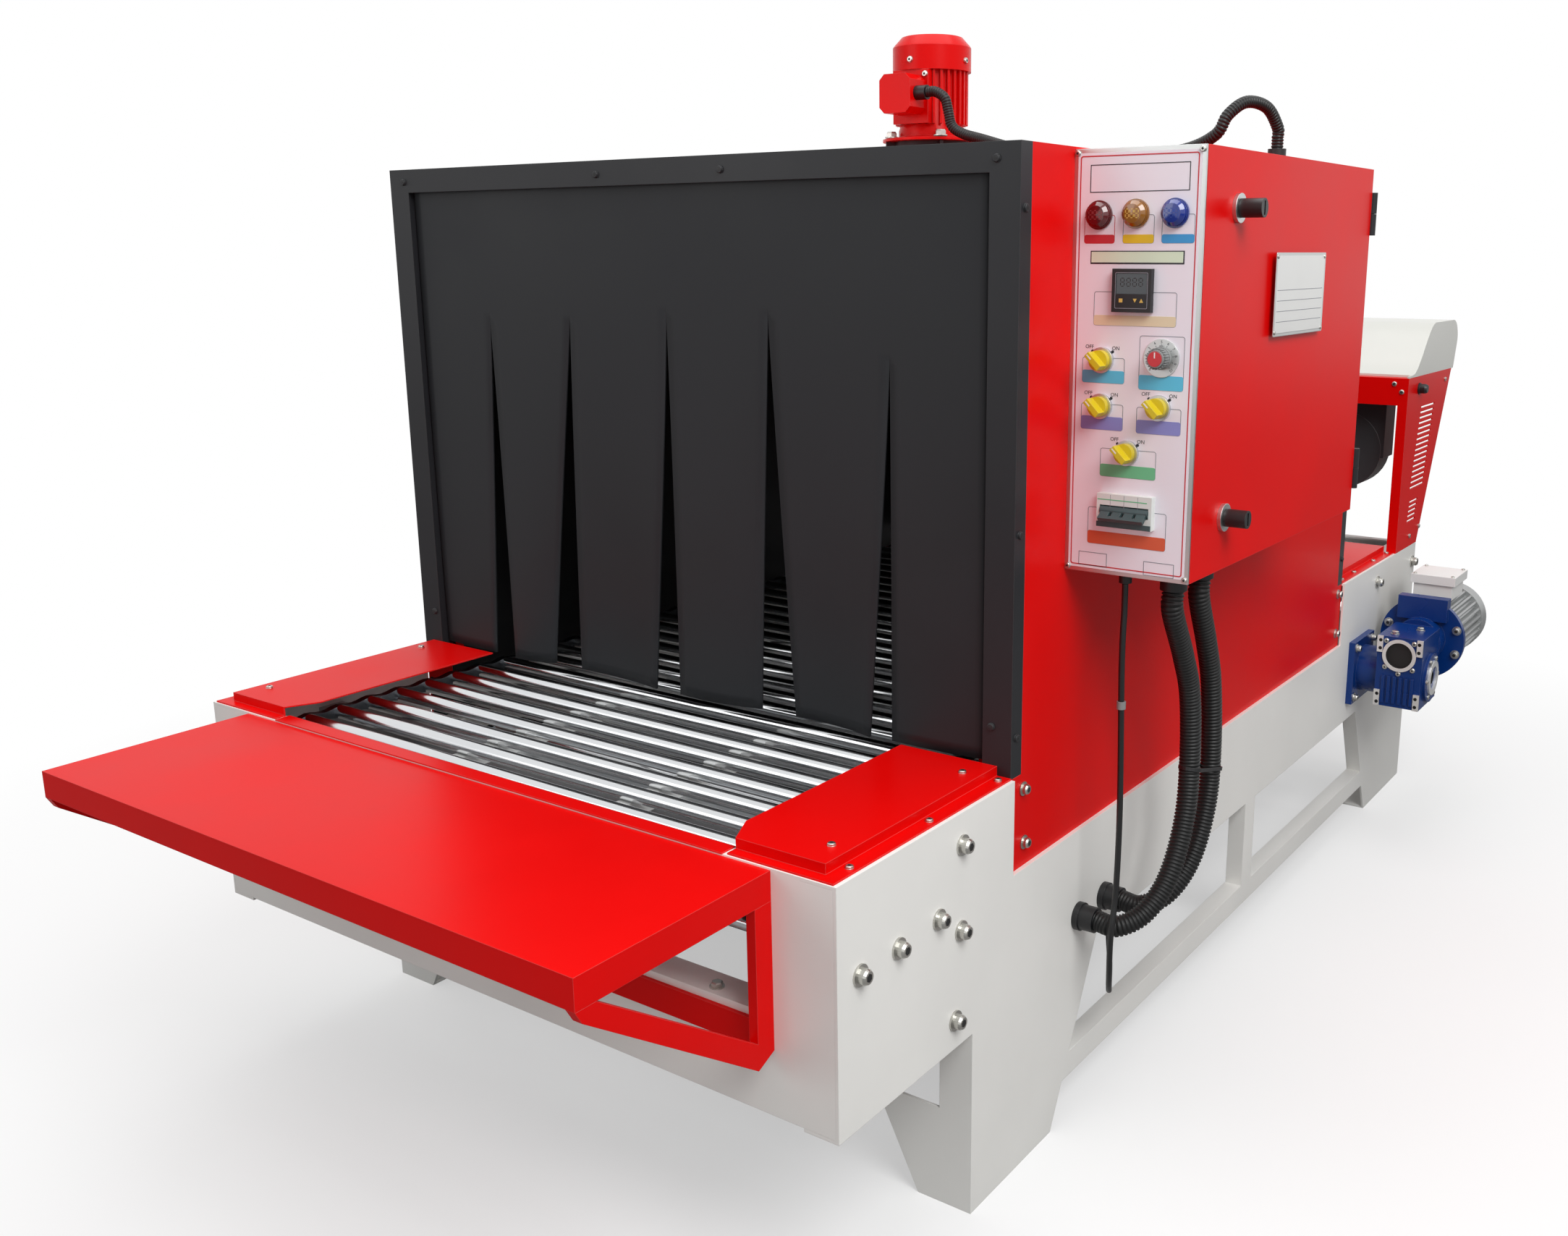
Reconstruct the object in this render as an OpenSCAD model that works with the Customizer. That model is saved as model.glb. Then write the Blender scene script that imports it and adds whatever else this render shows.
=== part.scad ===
// Heat shrink tunnel of a packaging line: a rod conveyor on a folded sheet base carries packs
// through an insulated hood with a fan on top, a control box at its side and a cooling portal
// at the outfeed. The conveyor runs along +Y, +X is the control side, +Z is up.

/* [Base frame] */
// Width over the two side plates
frame_w = 1092; // [1000:2:1200]
// Height of the side plates' top edge
frame_h = 535; // [505:1:580]
// Length of the side plates ahead of the hood
frame_front = 358; // [340:1:420]
// Length of the side plates behind the hood
frame_rear = 496; // [480:1:560]
// Depth of the side beam
beam_d = 290; // [270:1:320]
// Step down of the beam under the hood
notch_d = 122; // [110:1:130]
// Sheet thickness of the base frame
frame_t = 4; // [3:0.5:6]
// Width of the folded top and bottom flanges
flange_w = 46; // [40:1:56]
// Depth of the return around the windows
return_w = 28; // [20:1:40]
// Distance from the front of the side plates to the front leg
leg_in = 266; // [230:1:290]
// Length of the front foot
front_foot = 204; // [160:1:240]
// Length of the front leg where it joins the beam
front_leg = 329; // [280:1:380]
// Length of the rear foot
rear_foot = 255; // [200:1:300]
// Length of the rear leg where it joins the beam
rear_leg = 365; // [320:1:420]
// Width of the foot flange
foot_w = 77; // [60:1:100]
// Width of the gusset step above the foot
gusset_w = 130; // [110:1:160]
// Height of the foot of the gusset step
gusset_z = 105; // [90:1:120]
// Height of the gusset step
gusset_h = 25; // [15:1:40]
// Clear height under the bottom rail
rail_z = 60; // [40:1:90]
// Height of the bottom rail
rail_h = 36; // [28:1:48]
// Place of the middle post behind the hood's front
post_y = 814; // [700:1:900]
// Width of the middle post
post_w = 44; // [30:1:60]

/* [Aprons] */
// Width of the apron opening
open_w = 860; // [840:2:880]
// Height of the apron's bottom edge to the sill of its opening
sill_h = 119; // [100:1:130]
// Height of the apron opening
open_h = 127; // [115:1:135]
// Depth of the sill
sill_d = 40; // [20:1:50]
// Depth of the apron's top flange
apron_flange = 20; // [16:1:26]

/* [Rod conveyor] */
// Diameter of the rods
rod_d = 20; // [16:1:22]
// Length of the rods between the chains
rod_l = 826; // [800:2:850]
// Wanted spacing of the rods
rod_pitch = 50; // [46:1:53]
// Rod seats on a sprocket
seats = 5; // [5:1:5]
// Play of a rod in its seat
seat_play = 0.6; // [0.5:0.1:0.9]
// Thickness of a sprocket
sprocket_t = 12; // [8:1:16]
// Gap between sprocket and chain
sprocket_gap = 12; // [8:1:20]
// Rise of a sprocket's teeth above the rod circle
tooth_h = 3; // [0:0.5:4]
// Relief of the teeth's flanks
tooth_relief = 3; // [2.5:0.5:4]
// Thickness of the chains
chain_t = 12; // [8:1:16]
// Height of the chain links
chain_h = 18; // [14:1:20]
// Drop of the tail and head shafts below the plates' top edge
shaft_drop = 60; // [58:1:66]
// Distance of the tail shaft from the front of the plates
tail_in = 60; // [60:1:80]
// Distance of the head shaft from the rear of the plates
head_in = 70; // [62:1:90]
// Distance of the drive shaft behind the hood
drive_y = 119; // [110:1:140]
// Drop of the drive shaft below the plates' top edge
drive_drop = 191; // [170:1:200]
// Diameter of the shafts
shaft_d = 25; // [20:1:30]
// Running clearance of the shafts
shaft_play = 0.3; // [0.2:0.1:0.5]
// Diameter of the bearing flange
bearing_d = 80; // [70:1:90]
// Diameter of the bearing hub
hub_d = 54; // [46:1:62]
// Length of the bearing
bearing_l = 25; // [18:1:32]
// Distance of the support rails from the centre line
support_x = 150; // [120:1:200]
// Width of the support rails
support_w = 20; // [14:1:30]
// Height of the support rails
support_h = 20; // [16:1:24]
// Width of the cross bars
bar_w = 40; // [30:1:50]
// Height of the cross bars
bar_h = 30; // [24:1:34]
// Clearance between rods and support rails
rod_play = 0.3; // [0.2:0.1:1]

/* [Tray and covers] */
// Width of the infeed tray
tray_w = 924; // [880:2:960]
// Length of the infeed tray
tray_l = 272; // [240:1:320]
// Drop of the tray's top below the plates' top edge
tray_drop = 2; // [0:0.5:3]
// Depth of the tray's lip
tray_lip = 34; // [28:1:40]
// Sheet thickness of tray and brackets
tray_t = 3; // [2:0.5:4]
// Height of the tray bracket below the lip
bracket_h = 183; // [160:1:200]
// Width of the bracket's bars
bracket_b = 26; // [20:1:32]
// Thickness of the bracket across the machine
bracket_t = 12; // [8:1:20]
// Height of the cross strip between the brackets
strip_h = 34; // [24:1:40]
// Thickness of the cross strip
strip_t = 5; // [3:1:8]
// Width of a chain cover's lid
cover_w = 140; // [130:1:146]
// Rise of a chain cover's lid above its flange
cover_h = 12; // [8:1:20]
// Sheet thickness of the covers
cover_t = 2; // [1.5:0.5:3]
// Gap from the cover's flange to the plate's outer face
cover_in = 5; // [2:1:8]
// Width of the cover's flange
cover_flange = 20; // [14:1:26]
// Chamfer at the cover's inner front corner
cover_cut = 42; // [30:1:60]

/* [Hood] */
// Length of the hood
hood_l = 1264; // [1100:1:1400]
// Height of the hood above the plates' top edge
hood_h = 735; // [600:1:850]
// Gap from the hood's side to the plate's outer face
hood_in = 6; // [5:1:8]
// Thickness of the insulated side walls
wall_t = 60; // [50:1:66]
// Thickness of the insulated roof
roof_t = 90; // [60:1:120]
// Thickness of the side skirt over the beam
skirt_t = 4; // [3:0.5:6]
// Depth of the end frames
end_d = 25; // [20:1:32]
// Width of the end frames' jambs
jamb_w = 40; // [30:1:50]
// Height of the end frames' header
header_h = 33; // [28:1:45]
// Thickness of the curtains
curtain_t = 3; // [2:0.5:4]
// Distance of the curtain from the frame's face
curtain_in = 8; // [6:1:12]
// Gap between curtain and frame
curtain_play = 3; // [2:0.5:5]
// Clamp clearance of the curtain
clamp_play = 0.3; // [0.2:0.1:0.5]
// Height of the curtain's lower edge above the plates' top edge
curtain_z = 14; // [8:1:30]

/* [Circulation fan] */
// Place of the fan's axis off the centre line
fan_x = 5; // [-40:1:40]
// Place of the fan's axis behind the hood's front
fan_y = 645; // [600:1:700]
// Diameter of the fan stool
stool_d = 124; // [100:1:140]
// Height of the fan stool
stool_h = 56; // [40:1:70]
// Side of the stool's base plate
stool_base = 190; // [170:1:220]
// Diameter of the motor's flange
fan_flange_d = 170; // [160:1:190]
// Thickness of the motor's flange
fan_flange_t = 14; // [10:1:18]
// Diameter of the finned motor body
fan_body_d = 132; // [120:1:140]
// Length of the finned motor body
fan_body_l = 106; // [90:1:120]
// Height of the motor's fins
fan_fin_h = 8; // [5:1:12]
// Diameter of the fan cowl
fan_cowl_d = 146; // [142:1:156]
// Height of the fan cowl
fan_cowl_h = 49; // [40:1:60]
// Size of the fan's terminal box
fan_box_w = 58; // [50:1:70]
// Height of the fan's terminal box
fan_box_h = 59; // [50:1:70]
// Reach of the fan's terminal box ahead of the axis
fan_box_y = 105; // [95:1:120]

/* [Control box] */
// Width of the control box
box_w = 160; // [158:1:180]
// Length of the control box with its door
box_l = 615; // [560:1:680]
// Height of the control box
box_h = 495; // [480:1:540]
// Place of the control panel behind the hood's front
box_y = 125; // [110:1:140]
// Drop of the control box below the hood's top
box_drop = 3; // [0:1:20]
// Sheet thickness of the control box
box_t = 2; // [1.5:0.5:3]
// Thickness of the control panel
panel_t = 3; // [2:0.5:4]
// Depth of the door's pan
door_d = 14; // [10:1:20]
// Gap around the closed door
door_gap = 2; // [1:0.5:3]
// Gap between the door's rim and the box
door_seat = 0.5; // [0.3:0.1:1]
// Radius of the hinge barrels
hinge_r = 6; // [5:0.5:8]
// Radius of the hinge pins
pin_r = 3; // [2:0.5:3.5]
// Length of a hinge
hinge_h = 60; // [40:1:80]
// Distance of the hinges from the top and bottom of the box
hinge_in = 62; // [50:1:100]
// Distance of the locks from the top and bottom of the box
lock_in = 66; // [50:1:100]
// Distance of the locks from the control panel
lock_y = 97; // [80:1:120]
// Radius of a lock's bezel
lock_r = 17; // [14:1:22]
// Reach of a lock's knob
lock_l = 28; // [20:1:36]
// Radius of the selector bezels
bezel_r = 15; // [13:0.5:17]
// Thickness of the selector bezels
bezel_t = 5; // [3:0.5:8]
// Radius of the selector knobs
knob_r = 12; // [10:0.5:13]
// Reach of the selector handles
knob_l = 22; // [16:1:28]
// Radius of the speed dial
dial_r = 22; // [19:0.5:24]
// Radius of the signal lamps
lamp_r = 14.5; // [12:0.5:17]
// Side of the temperature controller
meter_w = 49; // [44:1:54]
// Width of the mains breaker
breaker_w = 71; // [64:1:78]
// Height of the mains breaker
breaker_h = 40; // [34:1:46]

/* [Gearmotor] */
// Side of the mounting flange
gear_flange = 125; // [110:1:135]
// Thickness of the mounting flange
gear_flange_t = 12; // [8:1:16]
// Length of the neck to the housing
gear_neck = 42; // [30:1:60]
// Width of the gear housing
gear_w = 86; // [76:1:96]
// Length of the gear housing
gear_l = 120; // [110:1:130]
// Height of the gear housing below the output shaft
gear_low = 54; // [50:1:60]
// Distance between output shaft and worm
worm_up = 51; // [48:1:60]
// Diameter of the motor's flange
motor_flange_d = 164; // [150:1:176]
// Diameter of the motor
motor_d = 140; // [124:1:146]
// Length of the motor
motor_l = 228; // [200:1:260]

/* [Outfeed portal] */
// Distance of the portal behind the hood
portal_y = 341; // [330:1:360]
// Height of the portal
portal_h = 365; // [320:1:420]
// Length of the portal at its foot
portal_foot = 155; // [140:1:155]
// Length of the portal at its top
portal_l = 339; // [300:1:380]
// Sheet thickness of the portal
portal_t = 3; // [2:0.5:4]
// Width of the portal's jambs
portal_jamb = 20; // [16:1:30]
// Height of the portal's header
portal_header = 56; // [44:1:70]
// Length of the cooling cowl
cowl_l = 395; // [370:1:420]
// Height of the cooling cowl
cowl_h = 106; // [90:1:130]
// Overhang of the cowl's foot ahead of the portal
cowl_over = 22; // [10:1:30]
// Place of the cooling fans off the centre line
blower_x = 400; // [340:1:410]
// Radius of the cooling fans
blower_r = 88; // [80:1:96]

/* [Conduits] */
// Outside diameter of the side conduits
conduit_d = 28; // [22:1:30]
// Outside diameter of the fan's conduit
fan_conduit_d = 16; // [12:1:20]
// Diameter of the signal cable
cable_d = 8; // [6:1:10]
// Outside diameter of the conduit glands
gland_d = 38; // [36:1:40]
// Length of the conduit glands
gland_l = 28; // [20:1:32]

/* [Hidden] */
$fn = 48;
eps = 0.01;

red = "#d01410";
white = "#e6e4e0";
black = "#1c1c1f";
steel = "#b9babb";
blue = "#123f9b";
grey = "#8d8f90";
yellow = "#d8c21a";

// Base frame
plate_x = frame_w / 2;
inner_x = plate_x - frame_t;
front_y = -frame_front;
rear_y = hood_l + frame_rear;
beam_z = frame_h - beam_d;
notch_z = frame_h - notch_d;
leg_y = front_y + leg_in;

function front_edge(z) = leg_y + front_foot + (front_leg - front_foot) * z / beam_z;
function rear_edge(z) = rear_y - rear_foot - (rear_leg - rear_foot) * z / beam_z;
function window_f(g) = let (b = rail_z + rail_h - g, t = beam_z + g, p = post_y - post_w / 2 + g)
    [[front_edge(b) - g, b], [front_edge(t) - g, t], [p, t], [p, b]];
function window_r(g) = let (b = rail_z + rail_h - g, t = beam_z + g, p = post_y + post_w / 2 - g)
    [[p, b], [p, t], [rear_edge(t) + g, t], [rear_edge(b) + g, b]];
side_outline = [[front_y, frame_h], [0, frame_h], [0, notch_z], [hood_l, notch_z],
                [hood_l, frame_h], [rear_y, frame_h], [rear_y, 0], [rear_edge(0), 0],
                [rear_edge(rail_z), rail_z], [front_edge(rail_z), rail_z], [front_edge(0), 0],
                [leg_y, 0], [leg_y, beam_z], [front_y, beam_z]];
leg_flange = [[plate_x, 0], [plate_x - foot_w, 0], [plate_x - gusset_w, gusset_z],
              [plate_x - gusset_w, gusset_z + gusset_h], [plate_x - flange_w, gusset_z + gusset_h],
              [plate_x - flange_w, beam_z], [plate_x, beam_z]];

// Aprons
apron_z = beam_z + frame_t;
sill_z = apron_z + sill_h;

// Rod conveyor: the loop is the triangle of the three shafts, moved out by the rod circle, so its
// straight runs are as long as the triangle's sides and a whole number of rods fills it.
tail = [front_y + tail_in, frame_h - shaft_drop];
head = [rear_y - head_in, frame_h - shaft_drop];
drive = [hood_l + drive_y, frame_h - drive_drop];
axes = [tail, head, drive];
sides = [for (i = [0:2]) norm(axes[(i + 1) % 3] - axes[i])];
ring_len = sides[0] + sides[1] + sides[2];
pitch = ring_len / round(ring_len / rod_pitch);
rod_circle = seats * pitch / (2 * PI);
rods = round(ring_len / pitch) + seats;
// Outward normal of each straight run, and the turn at the shaft it ends at
function run_angle(i) = let (v = axes[(i + 1) % 3] - axes[i]) atan2(v[1], v[0]) + 90;
function turn(i) = let (d = run_angle(i) - run_angle((i + 1) % 3)) d - 360 * floor(d / 360);
arcs = [for (i = [0:2]) turn(i) * PI / 180 * rod_circle];
starts = [0, sides[0] + arcs[0], sides[0] + arcs[0] + sides[1] + arcs[1]];
function polar(r, a) = [r * cos(a), r * sin(a)];
function on_run(i, s, off) = s <= sides[i]
    ? axes[i] + polar(rod_circle + off, run_angle(i)) + polar(s, run_angle(i) - 90)
    : axes[(i + 1) % 3]
      + polar(rod_circle + off, run_angle(i) - (s - sides[i]) / rod_circle * 180 / PI);
function loop_at(s, off = 0) = s < starts[1] ? on_run(0, s, off)
    : s < starts[2] ? on_run(1, s - starts[1], off) : on_run(2, s - starts[2], off);
// Angle of a rod seat on the sprocket at the end of run i
function seat_angle(i) = run_angle(i) + (starts[i] + sides[i]) / rod_circle * 180 / PI;
rod_z = tail[1] + rod_circle;
sprocket_x = rod_l / 2 - sprocket_gap;
rail_top = rod_z - rod_d / 2 - rod_play;
bar_top = rail_top - support_h;
function link_h(k) = chain_h / 2 * (0.8 + 0.2 * cos(60 * k));

// Tray and covers
tray_z = frame_h - tray_drop;
tray_y = front_y - tray_l;
lip_z = tray_z - tray_lip;
cover_x = plate_x - cover_in;
lid_x = cover_x - cover_flange;
lid_z = frame_h + cover_t + cover_h;
cover_y = front_y + cover_t;
lid_y = cover_y + cover_flange - 6;

// Hood
hood_x = plate_x - hood_in;
hood_z = frame_h + hood_h;
wall_x = hood_x - wall_t;
roof_z = hood_z - roof_t;
curtain_x = hood_x - jamb_w - curtain_play;
curtain_low = frame_h + curtain_z;
curtain_top = hood_z - 8;
// Slits of a curtain: centre and half width at the bottom, centre and height of the top
slits = [[-354, 24, -347, 215], [-229, 28, -181, 205], [-16, 23, 1, 200], [173, 29, 174, 195],
         [348, 16, 360, 245]];

// Circulation fan
stool_top = hood_z + stool_h;
fan_body_z = stool_top + fan_flange_t;
fan_cowl_z = fan_body_z + fan_body_l;
fan_box_z = fan_body_z + 25;
fan_box_x = fan_x - 2;

// Control box
box_top = hood_z - box_drop;
box_low = box_top - box_h;
box_x = hood_x + box_w;
box_end = box_y + box_l;
rim_x = box_x - door_d;
shell_y = box_y + panel_t;
door_y = shell_y + door_gap;
hinge_at = [box_x + box_t, box_end + hinge_r];
hinge_z = [box_low + hinge_in, box_top - hinge_in];
lock_z = [box_low + lock_in, box_top - lock_in];
lock_at = box_y + lock_y;
stem_r = 4;
// Devices on the panel: distance from its left edge and from its top
selector_at = [[43, 239], [43, 293], [117, 291], [79, 346]];
dial_at = [118, 234];
lamp_at = [[34, 74], [80, 73], [128, 73]];
meter_at = [80.5, 158.5];
breaker_at = [81.5, 415];
toggle_r = 7;
toggle_y = box_y - 6;

// Gearmotor
gear_x = plate_x + gear_flange_t + gear_neck;
gear_mid = gear_x + gear_w / 2;
worm_z = drive[1] + worm_up;
gear_top = worm_z + 35;
gear_front = drive[0] - gear_l / 2;
gear_back = drive[0] + gear_l / 2;
motor_y = gear_back + 49;

// Outfeed portal
arch_y = hood_l + portal_y;
arch_z = frame_h + portal_h;
arch_top = arch_y + portal_l;
cowl_y = arch_y - cowl_over;
cowl_x = plate_x;

// The part stands with the middle of its box over the origin
mid_x = (box_x + box_t + 5 + lock_l - plate_x) / 2;
mid_y = (tray_y + max(arch_top, cowl_y + cowl_l)) / 2;

// Routes of the conduits and of the cable
front_route = [[650, 206, 744], [650, 206, 716], [650, 246, 650], [650, 274, 590], [650, 284, 500],
               [652, 270, 420], [648, 235, 350], [632, 200, 308], [604, 176, 290], [574, 176, 290]];
rear_route = [[650, 290, 744], [650, 290, 716], [650, 322, 650], [650, 345, 590], [650, 357, 500],
              [652, 346, 420], [648, 312, 350], [632, 275, 308], [604, 251, 290], [574, 251, 290]];
cable_route = [[606, 160, 756], [606, 160, 720], [606, 158, 650], [606, 167, 465], [606, 164, 346],
               [606, 153, 285], [600, 165, 222], [586, 196, 184], [568, 234, 170], [550, 272, 180],
               [535, 298, 200], [530, 305, 218], [530, 305, 235]];
fan_route = [[52, 560, 1395], [66, 560, 1395], [84, 560, 1384], [91, 560, 1363], [98, 560, 1342],
             [118, 560, 1330], [155, 557, 1320], [250, 535, 1296], [350, 505, 1280], [450, 470, 1279],
             [540, 438, 1284], [588, 424, 1300], [602, 428, 1324], [617, 452, 1341],
             [632, 486, 1336], [640, 508, 1312], [640, 510, 1300], [640, 510, 1285]];

function unit(v) = v / norm(v);
// Smooth curve through the points, n steps on each span
function knot(p, i) = i < 0 ? 2 * p[0] - p[1]
    : i >= len(p) ? 2 * p[len(p) - 1] - p[len(p) - 2] : p[i];
function spot(a, b, c, d, t) = 0.5 * (2 * b + (c - a) * t + (2 * a - 5 * b + 4 * c - d) * t * t
    + (3 * b - a - 3 * c + d) * t * t * t);
function slope(a, b, c, d, t) = unit((c - a) + 2 * (2 * a - 5 * b + 4 * c - d) * t
    + 3 * (3 * b - a - 3 * c + d) * t * t);
function curve(p, n) = [for (i = [0:len(p) - 2], k = [0:(i == len(p) - 2 ? n : n - 1)])
    spot(knot(p, i - 1), p[i], p[i + 1], knot(p, i + 2), k / n)];
function slopes(p, n) = [for (i = [0:len(p) - 2], k = [0:(i == len(p) - 2 ? n : n - 1)])
    slope(knot(p, i - 1), p[i], p[i + 1], knot(p, i + 2), k / n)];
function carried(t, v) = unit(v - (v * t) * t);

module at_origin() { translate([-mid_x, -mid_y, 0]) children(); }
module both() { children(); mirror([1, 0, 0]) children(); }
module block(a, b) { translate(a) cube(b - a); }
// Outline in Y and Z, made solid along X
module along_x(x0, x1) { translate([x0, 0, 0]) rotate([90, 0, 90]) linear_extrude(x1 - x0) children(); }
// Outline in X and Z, made solid along Y
module along_y(y0, y1) { translate([0, y1, 0]) rotate([90, 0, 0]) linear_extrude(y1 - y0) children(); }
module rod_x(r, x0, x1, at) { translate([x0, at[0], at[1]]) rotate([0, 90, 0]) cylinder(r = r, h = x1 - x0); }
module rod_y(r, y0, y1, at) { translate([at[0], y1, at[1]]) rotate([90, 0, 0]) cylinder(r = r, h = y1 - y0); }
module rod_z(r, z0, z1, at) { translate([at[0], at[1], z0]) cylinder(r = r, h = z1 - z0); }
// Mirror image across the middle of the hood
module at_rear() { translate([0, hood_l, 0]) mirror([0, 1, 0]) children(); }

module tube(p, d, n, count = 10) {
    c = curve(p, n);
    t = slopes(p, n);
    first = carried(t[0], abs(t[0][1]) < 0.9 ? [0, 1, 0] : [1, 0, 0]);
    frames = [for (i = 0, v = first; i < len(c); i = i + 1,
        v = i < len(c) ? carried(t[i], v) : v) v];
    points = [for (i = [0:len(c) - 1], k = [0:count - 1]) let (a = 360 * k / count)
        c[i] + d / 2 * (cos(a) * frames[i] + sin(a) * cross(t[i], frames[i]))];
    sides = [for (i = [0:len(c) - 2], k = [0:count - 1])
        [i * count + k, (i + 1) * count + k, (i + 1) * count + (k + 1) % count,
         i * count + (k + 1) % count]];
    ends = [[for (k = [0:count - 1]) k],
            [for (k = [count - 1:-1:0]) (len(c) - 1) * count + k]];
    polyhedron(points, concat(sides, ends));
}

// Folded side of the base: beam, two legs, post and rail from one sheet with returns
module side_sheet() {
    along_x(inner_x, plate_x) difference() {
        polygon(side_outline);
        polygon(window_f(0));
        polygon(window_r(0));
    }
    along_x(plate_x - return_w, plate_x) difference() { polygon(window_f(frame_t)); polygon(window_f(0)); }
    along_x(plate_x - return_w, plate_x) difference() { polygon(window_r(frame_t)); polygon(window_r(0)); }
    along_x(plate_x - return_w, plate_x) polygon([[front_edge(rail_z), rail_z],
        [rear_edge(rail_z), rail_z], [rear_edge(rail_z), rail_z + frame_t],
        [front_edge(rail_z), rail_z + frame_t]]);
    block([plate_x - flange_w, front_y, frame_h - frame_t], [plate_x, 0, frame_h]);
    block([plate_x - flange_w, hood_l, frame_h - frame_t], [plate_x, rear_y, frame_h]);
    block([plate_x - flange_w, 0, notch_z - frame_t], [plate_x, hood_l, notch_z]);
    block([plate_x - flange_w, front_y, beam_z], [plate_x, leg_y + frame_t, apron_z]);
    along_y(leg_y, leg_y + frame_t) polygon(leg_flange);
    along_y(rear_y - frame_t, rear_y) polygon(leg_flange);
    block([plate_x - foot_w, leg_y, 0], [plate_x, leg_y + front_foot, frame_t]);
    block([plate_x - foot_w, rear_y - rear_foot, 0], [plate_x, rear_y, frame_t]);
}

module side_frame_right() {
    color(white) at_origin() difference() {
        side_sheet();
        rod_x(shaft_d / 2 + 2, inner_x - 1, plate_x + 1, drive);
        for (p = [front_route, rear_route])
            rod_x(conduit_d / 2 - 3, inner_x - 1, plate_x + 1, [p[len(p) - 1][1], p[len(p) - 1][2]]);
    }
}

module side_frame_left() { color(white) at_origin() mirror([1, 0, 0]) side_sheet(); }

// End apron with its opening, sill and top flange
module apron() {
    along_y(front_y, front_y + frame_t) difference() {
        polygon([[-inner_x, apron_z], [inner_x, apron_z], [inner_x, frame_h - frame_t],
                 [-inner_x, frame_h - frame_t]]);
        translate([-open_w / 2, sill_z]) square([open_w, open_h]);
    }
    block([-open_w / 2, front_y, sill_z - frame_t], [open_w / 2, front_y + sill_d, sill_z]);
    block([flange_w - plate_x, front_y, frame_h - 2 * frame_t],
          [plate_x - flange_w, front_y + frame_t, frame_h]);
    block([flange_w - plate_x, front_y, frame_h - frame_t],
          [plate_x - flange_w, front_y + apron_flange, frame_h]);
}

module front_apron() { color(white) at_origin() apron(); }

module rear_apron() {
    color(white) at_origin() translate([0, front_y + rear_y, 0]) mirror([0, 1, 0]) apron();
}

// Rails that carry the rods
module support_rails() {
    color(steel) at_origin() both() block([support_x - support_w / 2, tail[0] + shaft_d + 5, bar_top],
                                          [support_x + support_w / 2, head[0] - shaft_d - 5, rail_top]);
}

// Cross bars under the rails, between the side plates and between the hood's skirts
module cross_bars() {
    color(steel) at_origin() {
        for (y = [front_y / 2, hood_l + frame_rear / 2 - 20])
            block([-inner_x, y - bar_w / 2, bar_top - bar_h], [inner_x, y + bar_w / 2, bar_top]);
        for (i = [0:3]) let (y = bar_w + i * (hood_l - 2 * bar_w) / 3)
            block([skirt_t - hood_x, y - bar_w / 2, bar_top - bar_h],
                  [hood_x - skirt_t, y + bar_w / 2, bar_top]);
    }
}

module conveyor_rods() {
    color(steel) at_origin() for (i = [0:rods - 1]) rod_x(rod_d / 2, -rod_l / 2, rod_l / 2, loop_at(i * pitch));
}

// Chain of waisted links, one link from rod to rod
module chain_band() {
    along_x(rod_l / 2, rod_l / 2 + chain_t) difference() {
        polygon([for (k = [0:6 * rods - 1]) loop_at(k * pitch / 6, link_h(k))]);
        polygon([for (k = [0:6 * rods - 1]) loop_at(k * pitch / 6, -link_h(k))]);
    }
}

module conveyor_chains() { color(grey) at_origin() both() chain_band(); }

// Wheel with a seat for each rod; the flanks open outwards, so that a rod swings in and out freely
module sprocket(i) {
    r = rod_d / 2 + seat_play;
    along_x(sprocket_x - sprocket_t, sprocket_x) translate(axes[(i + 1) % 3]) difference() {
        circle(r = rod_circle + tooth_h);
        for (k = [0:seats - 1]) rotate(seat_angle(i) + 360 / seats * k) translate([rod_circle, 0]) {
            circle(r = r);
            polygon([[0, -r], [tooth_h + 1, -r - tooth_relief], [tooth_h + 1, r + tooth_relief], [0, r]]);
        }
    }
}

module wheel_shaft(i, x0, x1) {
    rod_x(shaft_d / 2, x0, x1, axes[(i + 1) % 3]);
    both() sprocket(i);
}

module tail_shaft() { color(steel) at_origin() wheel_shaft(2, 1 - inner_x, inner_x - 1); }
module head_shaft() { color(steel) at_origin() wheel_shaft(0, 1 - inner_x, inner_x - 1); }
module drive_shaft() { color(steel) at_origin() wheel_shaft(1, 1 - inner_x, gear_x + gear_w / 2); }

module shaft_bearings() {
    color(grey) at_origin() both() for (a = axes) difference() {
        union() {
            rod_x(bearing_d / 2, inner_x - bearing_l / 3, inner_x, a);
            rod_x(hub_d / 2, inner_x - bearing_l, inner_x, a);
        }
        rod_x(shaft_d / 2 + shaft_play, inner_x - bearing_l - 1, inner_x + 1, a);
    }
}

// Tray folded from one sheet, open below and at the back
module infeed_tray() {
    color(red) at_origin() difference() {
        block([-tray_w / 2, tray_y, lip_z], [tray_w / 2, front_y, tray_z]);
        block([tray_t - tray_w / 2, tray_y + tray_t, lip_z - 1], [tray_w / 2 - tray_t, front_y + 1, tray_z - tray_t]);
    }
}

// Two triangles under the tray's sides, joined by a strip across the apron
module tray_bracket() {
    low = lip_z - bracket_h;
    color(red) at_origin() {
        both() along_x(tray_w / 2 - bracket_t, tray_w / 2) difference() {
            polygon([[tray_y, lip_z], [tray_y + 8, lip_z - 14], [front_y - bracket_b, low],
                     [front_y, low + 12], [front_y, lip_z]]);
            polygon([[tray_y + bracket_b, lip_z + 1], [tray_y + bracket_b, lip_z],
                     [front_y - bracket_b, low + bracket_b + 5],
                     [front_y - bracket_b, lip_z + 1]]);
        }
        block([bracket_t - tray_w / 2, front_y - strip_t, low + 9],
              [tray_w / 2 - bracket_t, front_y, low + 9 + strip_h]);
    }
}

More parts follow.
